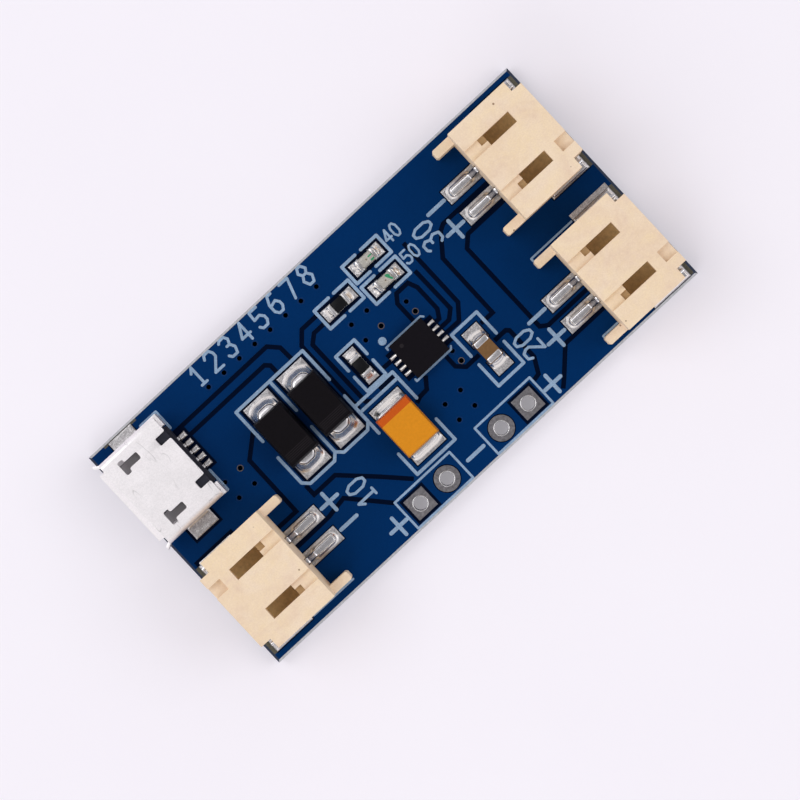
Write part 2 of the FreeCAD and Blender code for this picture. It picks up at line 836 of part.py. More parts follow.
half_lip = half_socket - size.lip_shoulder
half_cavity = half_socket - size.side_wall
cavity_top = size.socket_height - size.cavity_roof
cavity_depth = size.socket_depth - size.rear_wall
pin_middle = (size.cavity_floor + cavity_top) / 2
blade_middle = half_socket - size.tab_blade_inset


def make_socket_housing(name):
    body = new_body(f"{name}_housing", spots[name])
    rear = -size.socket_depth
    pad(body, "XY", [[
        (rear, -half_socket), (-size.lip_depth, -half_socket), (-size.lip_depth, -half_lip), (0, -half_lip),
        (0, half_lip), (-size.lip_depth, half_lip), (-size.lip_depth, half_socket), (rear, half_socket),
    ]], size.socket_height)
    ears = both_sides(rear - size.ear_length, rear, half_socket - size.ear_thickness, half_socket)
    pad(body, "XY", ears, size.ear_height)
    dress_edges(body, "Chamfer", size.ear_chamfer, lambda edge: runs_along(edge, 2)
                and near(edge.Vertexes[0].Point.x, rear - size.ear_length))
    pocket(body, "YZ", [rectangle(-half_cavity, half_cavity, size.cavity_floor, cavity_top)], cavity_depth)
    outer = half_cavity - size.window_inset
    inner = outer - size.window_width
    window_rear = rear + size.window_back
    top = size.socket_height
    windows = both_sides(window_rear, -size.window_front, inner, outer)
    pocket(body, "XY", windows, size.cavity_roof, at=top)
    pocket(body, "XY", both_sides(rear, window_rear, inner, outer), size.channel_sink, at=top)
    steps = both_sides(window_rear - size.step_length, window_rear, outer - size.step_width, outer)
    pocket(body, "XY", steps, size.step_sink, at=top)
    pocket(body, "XY", [rectangle(-size.notch_length, 0, -outer, -inner)], size.notch_sink, at=top)
    slot_depth = size.pin_drop + size.pin_size + size.socket_fit
    pocket(body, "YZ", [pin_slot(-1, 0), pin_slot(1, 0)], slot_depth, at=rear, backward=True)
    hole_bottom = pin_middle - size.pin_size / 2 - size.socket_fit
    pocket(body, "YZ", [pin_slot(-1, hole_bottom), pin_slot(1, hole_bottom)],
           size.rear_wall - slot_depth, at=rear + slot_depth, backward=True)
    tail = -tab_tail - size.socket_fit
    pocket(body, "XY", both_sides(tail, -size.lip_depth, half_lip - size.socket_fit, half_socket),
           size.tab_thickness + size.socket_fit, backward=True)
    half_blade = size.tab_thickness / 2 + size.socket_fit
    blade_slots = both_sides(tail, -size.lip_depth, blade_middle - half_blade, blade_middle + half_blade)
    pocket(body, "XY", blade_slots, size.tab_blade_height + size.socket_fit, backward=True)


def make_socket_pin(name, label, side):
    """One pin: straight in the cavity, down inside the rear wall, then out and down to its foot."""
    body = new_body(f"{name}_{label}_pin", spots[name])
    low = pin_middle - size.pin_size / 2
    high = pin_middle + size.pin_size / 2
    tip = -size.pin_setback
    shoulder = tip - 2 * size.pin_taper
    drop_rear = size.pin_drop - size.socket_depth
    drop_front = drop_rear + size.pin_size
    neck = -size.socket_depth - size.neck_length
    bend = neck - size.neck_slope
    pad(body, "XZ", [[
        (tip, low + size.pin_taper), (tip, high - size.pin_taper), (shoulder, high), (drop_rear, high),
        (drop_rear, size.pin_exit), (neck, size.pin_exit), (bend, size.foot_thickness),
        (foot_tip, size.foot_thickness), (foot_tip, 0), (bend + size.pin_taper, 0),
        (neck + size.pin_taper, size.pin_exit - size.foot_thickness),
        (drop_front, size.pin_exit - size.foot_thickness), (drop_front, low), (shoulder, low),
    ]], size.pin_size, at=-side * size.socket_pitch / 2, side="Symmetric")


def make_mounting_tabs(name):
    """Two tabs of bent strip: a foot on the board and a blade up inside the housing's side wall."""
    body = new_body(f"{name}_mounting_tabs", spots[name])
    foot_outer = half_socket + size.tab_overhang
    blade_inner = blade_middle - size.tab_thickness / 2
    blade_outer = blade_middle + size.tab_thickness / 2
    section = [
        (half_lip, 0), (foot_outer, 0), (foot_outer, size.tab_thickness), (blade_outer, size.tab_thickness),
        (blade_outer, size.tab_blade_height), (blade_inner, size.tab_blade_height),
        (blade_inner, size.tab_thickness), (half_lip, size.tab_thickness),
    ]
    pad(body, "YZ", [section, flipped(section)], size.tab_length, at=-tab_tail)


def make_socket_solder(name):
    body = new_body(f"{name}_solder_joints", spots[name])
    land_plates(body, socket_lands)
    half_pin = size.pin_size / 2
    skirt = half_pin + size.lead_solder_side
    heel = -size.socket_depth - size.neck_length - size.neck_slope - size.pin_taper
    toe = foot_tip - size.lead_solder_side

    def boat(middle, inset):
        """The plan of the solder round one foot, moved inwards all round."""
        side = skirt - inset
        return [(heel - inset, middle - side), (heel - inset, middle + side), (foot_tip, middle + side),
                (toe + inset, middle + half_pin), (toe + inset, middle - half_pin),
                (foot_tip, middle - side)]

    for side in (-1, 1):
        middle = side * size.socket_pitch / 2
        loft(body, [(boat(middle, 0), 0), (boat(middle, size.lead_solder_draft), size.lead_solder_height)])
        pocket(body, "XY", [rectangle(foot_tip, heel, middle - half_pin, middle + half_pin)],
               size.lead_solder_height, at=size.lead_solder_height)
    foot_edge = half_socket + size.tab_overhang
    wedge = [(foot_edge, 0), (tab_edge, 0), (foot_edge, size.tab_solder_height)]
    pad(body, "YZ", [wedge, flipped(wedge)], size.tab_length, at=-tab_tail)


# Power port: formed shell, moulded insert, five contacts and their solder

def port_section(inset):
    """The shell's section, or that section moved inwards by an even amount."""
    half = half_port - inset
    base = half_port - size.port_bevel - inset * size.port_corner_slide
    knee = size.port_knee + inset * size.port_corner_slide
    bottom = dim(inset)
    top = size.port_height - inset
    return [(-base, bottom), (base, bottom), (half, knee), (half, top), (-half, top), (-half, knee)]


def make_port_shell():
    body = new_body("power_port_shell", spots["power_port"])
    front = -size.port_lip_length
    length = size.port_length - size.port_lip_length
    top = size.port_height
    pad(body, "YZ", [port_section(0)], length, at=port_rear)
    dress_edges(body, "Fillet", size.port_rounding,
                lambda edge: runs_along(edge, 0) and near(edge.Vertexes[0].Point.z, top))
    pocket(body, "YZ", [port_section(size.port_wall)], length, at=front)
    wall_top = top - size.port_wall
    rise = size.port_lip_rise
    pad(body, "XZ", [[(front, wall_top), (0, wall_top + rise), (0, top + rise), (front, top)]],
        size.port_width - 2 * size.port_lip_inset, side="Symmetric")
    wall_side = half_port - size.port_wall
    cheek = [(front, wall_side), (front, half_port), (0, half_port + rise), (0, wall_side + rise)]
    lower_cheek = [(x, -y) for x, y in cheek]
    pad(body, "XY", [cheek, lower_cheek], top - size.port_cheek_drop - size.port_cheek_bottom,
        at=size.port_cheek_bottom)
    half_bar = size.hole_bar / 2
    half_stem = size.hole_stem_width / 2
    bar_front = -size.hole_front
    bar_rear = bar_front - size.hole_bar_width
    stem_rear = bar_rear - size.hole_stem
    holes = []
    for side in (-1, 1):
        middle = side * (half_port - size.hole_inset)
        holes.append([
            (bar_front, middle - half_bar), (bar_front, middle + half_bar), (bar_rear, middle + half_bar),
            (bar_rear, middle + half_stem), (stem_rear, middle + half_stem), (stem_rear, middle - half_stem),
            (bar_rear, middle - half_stem), (bar_rear, middle - half_bar),
        ])
    notch_inner = half_port - size.rear_notch_inset - size.rear_notch_width / 2
    notch_outer = notch_inner + size.rear_notch_width
    holes += both_sides(port_rear, port_rear + size.rear_notch_length, notch_inner, notch_outer)
    pocket(body, "XY", holes, size.port_wall, at=top)
    flap_rear = port_rear - size.port_wall
    root = port_rear + size.port_wall
    flap = [(flap_rear, half_port - size.flap_reach), (flap_rear, half_port), (root, half_port),
            (root, wall_side), (port_rear, wall_side), (port_rear, half_port - size.flap_reach)]
    flap_height = top - size.flap_drop - size.flap_bottom
    pad(body, "XY", [flap, [(x, -y) for x, y in flap]], flap_height, at=size.flap_bottom)
    legs = both_sides(leg_tail, -size.leg_front, wall_side, half_port)
    pad(body, "XY", legs, size.port_knee + size.port_wall)


tongue_bottom = size.port_height - size.tongue_drop
contact_bottom = tongue_bottom - size.contact_thickness


def make_port_insert():
    """The dark moulded insert: a block that fills the shell's rear, and a tongue for the contacts."""
    body = new_body("power_port_insert", spots["power_port"])
    block_rear = port_rear
    block_front = port_rear + size.insert_length
    pad(body, "YZ", [port_section(size.port_wall + size.insert_fit)], size.insert_length, at=block_rear)
    half_back = half_port - size.insert_back_inset
    back = rectangle(-half_back, half_back, size.port_wall, size.port_height - size.insert_back_drop)
    pad(body, "YZ", [back], size.insert_back, at=block_rear - size.insert_back)
    half = size.contact_width / 2
    half_tongue = contact_rows[-1] + half + size.tongue_margin
    tongue = rectangle(-half_tongue, half_tongue, tongue_bottom, tongue_bottom + size.tongue_thickness)
    pad(body, "YZ", [tongue], size.tongue_length, at=block_front)
    channels = [rectangle(middle - half, middle + half, contact_bottom, tongue_bottom)
                for middle in contact_rows]
    pocket(body, "YZ", channels, size.insert_length + size.insert_back,
           at=block_rear - size.insert_back, backward=True)


def make_port_contacts():
    """Five contact strips: along the tongue, through the block, down its back and out along the board."""
    body = new_body("power_port_contacts", spots["power_port"])
    low = contact_bottom
    high = tongue_bottom
    back = port_rear - size.insert_back
    front = port_rear + size.insert_length + size.tongue_length - size.contact_short
    first = pad(body, "XZ", [[
        (front, low), (front, high), (back - size.contact_thickness, high),
        (back - size.contact_thickness, size.contact_thickness), (tail_tip, size.contact_thickness),
        (tail_tip, 0), (back, 0), (back, low),
    ]], size.contact_width, at=contact_rows[-1], side="Symmetric")
    row_of(body, first, len(contact_rows), size.contact_pitch)


def make_port_solder():
    body = new_body("power_port_solder_joints", spots["power_port"])
    land_plates(body, tail_lands + port_lands)
    rise = [(tail_tip, 0), (tail_tip, size.tail_solder_height), (tail_tip - size.tail_land_toe, 0)]
    first = pad(body, "XZ", [rise], size.contact_width, at=contact_rows[-1], side="Symmetric")
    row_of(body, first, len(contact_rows), size.contact_pitch)
    fillet = [(half_port, 0), (half_port + size.port_solder_reach, 0), (half_port, size.port_solder_height)]
    pad(body, "YZ", [fillet, flipped(fillet)], size.leg_length, at=leg_tail)


# Parts in moulded cases with straps wrapped round their ends

def make_wrapped_part(name, kind, case_label, strap_labels):
    """A moulded case with a parting line at mid height and a strap bent under each end."""
    own = {key: getattr(size, f"{kind}_{key}") for key in (
        "length", "width", "top", "parting", "draft", "strap", "strap_width", "overhang", "foot")}
    seat = own["strap"]
    end = own["length"] / 2
    half_width = own["width"] / 2
    half_strap = own["strap_width"] / 2
    case = new_body(f"{name}_{case_label}", spots[name])
    drafted = centred(end - own["draft"], half_width - own["draft"])
    loft(case, [(drafted, own["strap"]), (centred(end, half_width), own["parting"]), (drafted, own["top"])])
    slot = rectangle(-half_strap, half_strap, own["parting"] - own["strap"], own["parting"])
    pocket(case, "YZ", [slot], seat, at=end)
    pocket(case, "YZ", [slot], seat, at=-end, backward=True)
    outer = end + own["overhang"]
    profile = [
        (end - seat, own["parting"]), (outer, own["parting"]), (outer, 0), (outer - own["foot"], 0),
        (outer - own["foot"], own["strap"]), (outer - own["strap"], own["strap"]),
        (outer - own["strap"], own["parting"] - own["strap"]), (end - seat, own["parting"] - own["strap"]),
    ]
    for label, loop in zip(strap_labels, (profile, flipped(profile))):
        body = new_body(f"{name}_{label}", spots[name])
        pad(body, "XZ", [loop], own["strap_width"], side="Symmetric")


def make_diode_solder(name):
    """Lands and half-round menisci in front of the straps."""
    body = new_body(f"{name}_solder_joints", spots[name])
    land_plates(body, diode_lands)
    diagonal = 0.5 ** 0.5

    def half_round(side, share):
        """Half of an eight-sided plan against a strap, at a share of its full reach and width."""
        reach = size.diode_solder_reach * share
        half_width = size.diode_strap_width / 2 * share
        corners = ((0, -1), (diagonal, -diagonal), (1, 0), (diagonal, diagonal), (0, 1))
        return [(side * (diode_end + reach * out), half_width * across) for out, across in corners]

    height = size.diode_solder_height
    for side in (-1, 1):
        loft(body, [
            (half_round(side, 1), 0),
            (half_round(side, size.meniscus_reach_share), height * size.meniscus_rise_share),
            (half_round(side, size.meniscus_tip_share), height),
        ])


# Chip parts

def make_ceramic_capacitor(name):
    """A sintered block with a metal cap pushed over each end."""
    at = spots[name]
    half = size.ceramic_length / 2
    half_width = size.ceramic_width / 2
    wall = size.cap_wall
    block = new_body(f"{name}_block", at)
    pad(block, "XY", [rectangle(wall - half, half - wall, wall - half_width, half_width - wall)],
        size.ceramic_height - 2 * wall, at=wall)
    caps = new_body(f"{name}_end_caps", at)
    both = [rectangle(half - size.ceramic_cap, half, -half_width, half_width),
            rectangle(-half, size.ceramic_cap - half, -half_width, half_width)]
    pad(caps, "XY", both, size.ceramic_height)
    hollow = rectangle(wall - half_width, half_width - wall, wall, size.ceramic_height - wall)
    pocket(caps, "YZ", [hollow], size.ceramic_length - 2 * wall, at=half - wall)
    end_solder(f"{name}_solder_joints", at, ceramic_lands, half, size.ceramic_solder_reach,
               size.ceramic_solder_height, size.ceramic_width)


def end_straps(label, at, half, thickness, reach, height, width):
    """Metal terminals wrapped round the two ends of a chip: top, end face and underside."""
    body = new_body(label, at)
    loop = [
        (half - reach, 0), (half, 0), (half, height), (half - reach, height),
        (half - reach, height - thickness), (half - thickness, height - thickness),
        (half - thickness, thickness), (half - reach, thickness),
    ]
    pad(body, "XZ", [loop, flipped(loop)], width, side="Symmetric")


def make_resistor(name):
    """A white substrate with a dark coat on top and a terminal round each end."""
    at = spots[name]
    half = size.resistor_length / 2
    half_width = size.resistor_width / 2
    coat = size.resistor_coat
    core = new_body(f"{name}_substrate", at)
    pad(core, "XY", [rectangle(coat - half, half - coat, -half_width, half_width)],
        size.resistor_height - 2 * coat, at=coat)
    cover = new_body(f"{name}_coat", at)
    edge = half - size.resistor_cap
    pad(cover, "XY", [rectangle(-edge, edge, -half_width, half_width)], coat, at=size.resistor_height - coat)
    end_straps(f"{name}_end_caps", at, half, coat, size.resistor_cap, size.resistor_height,
               size.resistor_width)
    end_solder(f"{name}_solder_joints", at, resistor_lands, half, size.resistor_solder_reach,
               size.resistor_solder_height, size.resistor_width)


def make_lamp(name):
    """An indicator lamp: base, terminals, clear lens and the chip sealed inside it."""
    at = spots[name]
    half = size.lamp_length / 2
    half_width = size.lamp_width / 2
    film = size.lamp_film
    half_lens = size.lamp_lens_length / 2
    base = new_body(f"{name}_base", at)
    pad(base, "XZ", [[
        (film - half, film), (half - film, film), (half - film, size.lamp_base - film),
        (half_lens, size.lamp_base - film), (half_lens, size.lamp_base), (-half_lens, size.lamp_base),
        (-half_lens, size.lamp_base - film), (film - half, size.lamp_base - film),
    ]], size.lamp_width, side="Symmetric")
    terminals = new_body(f"{name}_terminals", at)
    loop = [
        (half - size.lamp_terminal, 0), (half, 0), (half, size.lamp_base), (half_lens, size.lamp_base),
        (half_lens, size.lamp_base - film), (half - film, size.lamp_base - film), (half - film, film),
        (half - size.lamp_terminal, film),
    ]
    pad(terminals, "XZ", [loop, flipped(loop)], size.lamp_width, side="Symmetric")
    lens = new_body(f"{name}_lens", at)
    lens_top = size.lamp_base + size.lamp_lens_height
    drafted = centred(half_lens - size.lamp_lens_draft, half_width - size.lamp_lens_draft)
    loft(lens, [(centred(half_lens, half_width), size.lamp_base), (drafted, lens_top)])
    half_chip = size.lamp_chip / 2
    chip_plan = rectangle(-half_chip, half_chip, -half_chip, half_chip)
    pocket(lens, "XY", [chip_plan], size.lamp_chip_height, at=size.lamp_base, backward=True)
    chip = new_body(f"{name}_chip", at)
    pad(chip, "XY", [chip_plan], size.lamp_chip_height, at=size.lamp_base)
    end_solder(f"{name}_solder_joints", at, lamp_lands, half, size.lamp_solder_reach,
               size.lamp_solder_height, size.lamp_width)


def make_controller():
    """The charge controller: a square moulded package over eight edge leads and a heat pad."""
    at = spots["controller"]
    half_lead = size.controller_lead_width / 2
    metal = []
    for side in (-1, 1):
        ends = sorted((side * half_package, side * (half_package - size.controller_lead_length)), key=float)
        metal += [rectangle(*ends, middle - half_lead, middle + half_lead) for middle in lead_rows]
    metal.append(rectangle(-half_pad_length, half_pad_length, -half_pad_width, half_pad_width))
    package = new_body("controller_package", at)
    pad(package, "XY", [rectangle(-half_package, half_package, -half_package, half_package)],
        size.controller_height)
    pocket(package, "XY", metal, size.controller_lead_height, backward=True)
    leads = new_body("controller_leads", at)
    pad(leads, "XY", metal, size.controller_lead_height)
    solder = new_body("controller_solder_joints", at)
    land_plates(solder, controller_lands)
    rise = climbing(half_package, size.controller_solder_reach, size.controller_solder_height)
    first = pad(solder, "XZ", [rise, flipped(rise)], size.controller_lead_width,
                at=lead_rows[-1], side="Symmetric")
    row_of(solder, first, len(lead_rows), size.controller_pitch)


def build():
    make_board()
    make_header_pads()
    make_vias()
    for name in ("solar_socket", "battery_socket", "output_socket"):
        make_socket_housing(name)
        make_socket_pin(name, "positive", -1)
        make_socket_pin(name, "negative", 1)
        make_mounting_tabs(name)
        make_socket_solder(name)
    make_port_shell()
    make_port_insert()
    make_port_contacts()
    make_port_solder()
    for name in ("solar_diode", "port_diode"):
        make_wrapped_part(name, "diode", "case", ("anode_lead", "cathode_lead"))
        make_diode_solder(name)
    make_wrapped_part("tantalum_capacitor", "tantalum", "case", ("anode_lead", "cathode_lead"))
    end_solder("tantalum_capacitor_solder_joints", spots["tantalum_capacitor"], tantalum_lands,
               tantalum_end, size.tantalum_solder_reach, size.tantalum_solder_height,
               size.tantalum_strap_width)
    make_ceramic_capacitor("ceramic_capacitor")
    make_resistor("current_resistor")
    make_resistor("lamp_resistor")
    make_lamp("ready_lamp")
    make_lamp("charging_lamp")
    make_controller()
    doc.recompute()


def check():
    """Stops before anything is written if a feature failed or a piece has no sound solid."""
    for item in doc.Objects:
        if "Invalid" in item.State or "Error" in item.State:
            raise RuntimeError(f"{item.Label} failed: {item.State}")
    for item in pieces:
        if item.Shape.isNull() or not item.Shape.isValid() or not item.Shape.Solids:
            raise RuntimeError(f"{item.Label} has no sound solid")


def write():
    os.makedirs("parts", exist_ok=True)
    for item in pieces:
        item.Shape.exportStep(f"parts/{item.Label}.step")
        print(f"{item.Label}: {len(item.Shape.Solids)} solids, {item.Shape.Volume:.3f} cubic mm")


build()
check()
write()
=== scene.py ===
# %% [markdown]
# # A battery charger board in soft light
#
# The board is 40 mm long and carries lead sockets, a power port and a few chip parts. Its solids come
# from a CAD model that is already in the right place and size. This lesson gives them their finish: blue
# mask over copper, melted solder, cream nylon, pressed steel. Everything is worked out from the solids,
# so the first step is to load them and to keep the size of the whole thing, which is printed at the end.

# %% Load the solids
import math

import bmesh
import bpy
import numpy as np
from mathutils import Matrix, Vector


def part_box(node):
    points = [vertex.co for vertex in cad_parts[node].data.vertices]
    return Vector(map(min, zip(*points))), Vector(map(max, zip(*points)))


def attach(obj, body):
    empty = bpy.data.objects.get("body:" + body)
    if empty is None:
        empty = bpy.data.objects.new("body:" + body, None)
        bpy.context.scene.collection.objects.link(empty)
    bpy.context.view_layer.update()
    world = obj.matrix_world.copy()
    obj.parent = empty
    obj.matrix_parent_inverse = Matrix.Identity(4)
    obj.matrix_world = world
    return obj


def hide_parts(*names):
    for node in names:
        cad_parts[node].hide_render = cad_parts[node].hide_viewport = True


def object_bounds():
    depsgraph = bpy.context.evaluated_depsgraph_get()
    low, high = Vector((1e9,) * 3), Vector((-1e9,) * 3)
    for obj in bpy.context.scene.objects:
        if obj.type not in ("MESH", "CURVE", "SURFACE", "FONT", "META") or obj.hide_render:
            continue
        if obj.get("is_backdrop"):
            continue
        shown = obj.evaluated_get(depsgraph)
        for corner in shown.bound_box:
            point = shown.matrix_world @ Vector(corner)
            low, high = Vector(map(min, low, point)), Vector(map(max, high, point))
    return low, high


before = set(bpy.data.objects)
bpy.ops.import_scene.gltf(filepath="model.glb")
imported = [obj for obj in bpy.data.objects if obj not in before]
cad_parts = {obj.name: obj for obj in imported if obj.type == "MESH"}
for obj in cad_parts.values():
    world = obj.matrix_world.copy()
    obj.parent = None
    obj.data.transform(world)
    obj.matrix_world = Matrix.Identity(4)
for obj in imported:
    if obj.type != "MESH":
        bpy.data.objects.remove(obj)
cad_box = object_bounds()
MM = 0.001
board_low, board_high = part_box("circuit_board")
board_top = board_high.z / MM
print("solids:", len(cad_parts), "board top at", round(board_top, 2), "mm")

# %% [markdown]
# ## Measuring the solids
#
# One CAD node may hold several loose pieces, such as the two solder joints of a diode. To place a new
# skin over each of them, its box is needed. A mesh can be walked edge by edge to find its loose parts,
# and each part then gives a lowest and a highest corner. Working in millimetres keeps the numbers short.

# %% Boxes in millimetres


class Box:
    """The lowest and highest corners of a piece, in millimetres."""

    def __init__(self, points):
        points = np.array(points, float).reshape(-1, 3)
        self.x0, self.y0, self.z0 = points.min(0)
        self.x1, self.y1, self.z1 = points.max(0)
        self.x = (self.x0 + self.x1) / 2
        self.y = (self.y0 + self.y1) / 2


def whole_box(*nodes):
    """One box round several CAD nodes."""
    corners = [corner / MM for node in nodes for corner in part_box(node)]
    return Box(corners)


def loose_boxes(node):
    """The box of each loose part of a CAD node, from left to right."""
    shape = bmesh.new()
    shape.from_mesh(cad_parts[node].data)
    bmesh.ops.remove_doubles(shape, verts=shape.verts, dist=1e-7)
    waiting = set(shape.verts)
    found = []
    while waiting:
        stack = [waiting.pop()]
        points = []
        while stack:
            corner = stack.pop()
            points.append(corner.co / MM)
            for edge in corner.link_edges:
                other = edge.other_vert(corner)
                if other in waiting:
                    waiting.remove(other)
                    stack.append(other)
        found.append(Box(points))
    shape.free()
    return sorted(found, key=lambda box: (round(box.x, 2), round(box.y, 2)))


print("diode joints:", [(round(b.x, 2), round(b.y, 2)) for b in loose_boxes("solar_diode_solder_joints")])

# %% [markdown]
# ## Colours as they look
#
# A colour here is given in screen values from 0 to 255, while a shader counts light. The curve
# between them is the usual screen curve, so one small function turns such a colour into a shader's.

# %% Screen colours


def tone(red, green, blue):
    """A screen colour as a shader's colour."""
    parts = [value / 255 for value in (red, green, blue)]
    return tuple(p / 12.92 if p <= 0.04045 else ((p + 0.055) / 1.055) ** 2.4 for p in parts) + (1,)


POUR_BLUE = tone(0, 43, 92)
GROOVE_NAVY = tone(0, 10, 34)
EDGE_GREY = tone(202, 203, 206)
CUT_END = tone(58, 66, 84)
LAMINATE = tone(100, 97, 86)
INK = tone(163, 191, 222)
NYLON = tone(240, 219, 194)
NYLON_PINK = tone(229, 202, 176)
NYLON_CREAM = tone(243, 219, 178)
NYLON_SHADED_FLOOR = tone(196, 163, 112)
NYLON_STEP_SHADE = tone(186, 154, 110)
STEEL = tone(255, 251, 253)
TIN = tone(218, 216, 218)
ORANGE = tone(222, 142, 26)
BAND_ORANGE = tone(202, 88, 20)
print("pour blue:", [round(value, 3) for value in POUR_BLUE[:3]])

# %% [markdown]
# ## Effects that several finishes share
#
# Real surfaces are never one flat value. Moulded, plated and printed ones all vary a little, and that
# variation has the same few kinds: a cloudy mottle, a fine grain, thin scratches and specks of dust. Each
# is built once as a node group with named sockets, so a material only says how large and how strong.

# %% A helper for node groups


def new_group(name, inputs, output="Value"):
    """An empty shader group that reads object coordinates and gives one value."""
    tree = bpy.data.node_groups.new(name, "ShaderNodeTree")
    for label, start in inputs.items():
        socket = tree.interface.new_socket(label, in_out="INPUT", socket_type="NodeSocketFloat")
        socket.default_value = start
    tree.interface.new_socket(output, in_out="OUTPUT", socket_type="NodeSocketFloat")
    given = tree.nodes.new("NodeGroupInput")
    result = tree.nodes.new("NodeGroupOutput")
    place = tree.nodes.new("ShaderNodeTexCoord")
    return tree, given, result, place.outputs["Object"]


def noise(tree, place, scale, detail=2.0, roughness=0.5):
    """A noise texture; scale is a socket or a number."""
    made = tree.nodes.new("ShaderNodeTexNoise")
    tree.links.new(place, made.inputs["Vector"])
    made.inputs["Detail"].default_value = detail
    made.inputs["Roughness"].default_value = roughness
    if isinstance(scale, (int, float)):
        made.inputs["Scale"].default_value = scale
    else:
        tree.links.new(scale, made.inputs["Scale"])
    return made.outputs["Fac"]


def spread(tree, value, low, high, to_low=0.0, to_high=1.0):
    """Maps a value's range low to high onto another range, clamped."""
    made = tree.nodes.new("ShaderNodeMapRange")
    tree.links.new(value, made.inputs["Value"])
    for label, end in (("From Min", low), ("From Max", high), ("To Min", to_low), ("To Max", to_high)):
        if isinstance(end, (int, float)):
            made.inputs[label].default_value = end
        else:
            tree.links.new(end, made.inputs[label])
    return made.outputs["Result"]


def maths(tree, kind, first, second):
    """A maths node on two sockets or numbers."""
    made = tree.nodes.new("ShaderNodeMath")
    made.operation = kind
    for socket, value in zip(made.inputs, (first, second)):
        if isinstance(value, (int, float)):
            socket.default_value = value
        else:
            tree.links.new(value, socket)
    return made.outputs["Value"]


# %% Mottle, grain, scratches and specks
PER_MM = 1 / MM

mottle, given, result, place = new_group("mottle", {"Scale": 1 * PER_MM, "Contrast": 0.3, "Swirl": 0.0})
cloud = noise(mottle, place, given.outputs["Scale"], detail=4.0, roughness=0.6)
mottle.links.new(given.outputs["Swirl"], cloud.node.inputs["Distortion"])
low_end = maths(mottle, "SUBTRACT", 0.5, given.outputs["Contrast"])
high_end = maths(mottle, "ADD", 0.5, given.outputs["Contrast"])
mottle.links.new(spread(mottle, cloud, low_end, high_end), result.inputs["Value"])

scratches, given, result, place = new_group("scratches", {"Scale": 0.8 * PER_MM, "Width": 0.02})
strongest = 0.0
for turn, stretch in ((0.3, 5), (0.9, 3), (1.6, 6), (2.2, 4), (2.9, 7)):
    aslant = scratches.nodes.new("ShaderNodeMapping")
    aslant.inputs["Location"].default_value = (turn, turn, 0)
    aslant.inputs["Rotation"].default_value = (0, 0, turn)
    aslant.inputs["Scale"].default_value = (1, 1 / stretch, 1)
    scratches.links.new(place, aslant.inputs["Vector"])
    field = noise(scratches, aslant.outputs["Vector"], given.outputs["Scale"], detail=2.0)
    off_line = maths(scratches, "ABSOLUTE", maths(scratches, "SUBTRACT", field, 0.6), 0)
    line = spread(scratches, off_line, 0.0, given.outputs["Width"], 1.0, 0.0)
    patch = spread(scratches, noise(scratches, aslant.outputs["Vector"], 0.7 * PER_MM, 2.0), 0.58, 0.64)
    strongest = maths(scratches, "MAXIMUM", strongest, maths(scratches, "MULTIPLY", line, patch))
scratches.links.new(strongest, result.inputs["Value"])

specks, given, result, place = new_group("specks", {"Scale": 0.5 * PER_MM, "Size": 0.05})
cells = specks.nodes.new("ShaderNodeTexVoronoi")
specks.links.new(place, cells.inputs["Vector"])
specks.links.new(given.outputs["Scale"], cells.inputs["Scale"])
outer = maths(specks, "MULTIPLY", given.outputs["Size"], 1.4)
specks.links.new(spread(specks, cells.outputs["Distance"], given.outputs["Size"], outer, 1.0, 0.0),
                 result.inputs["Value"])
print("groups:", [group.name for group in bpy.data.node_groups])

# %% [markdown]
# ## One way to write a finish
#
# Most finishes here are a colour that wanders between a darker and a lighter tone, a roughness that
# wanders with it, and a little relief. A small class holds the material and its Principled shader and adds
# these layers one at a time, so that each finish reads like a recipe. Values that stay the same all over
# are set on the shader's own sockets.

# %% The finish class


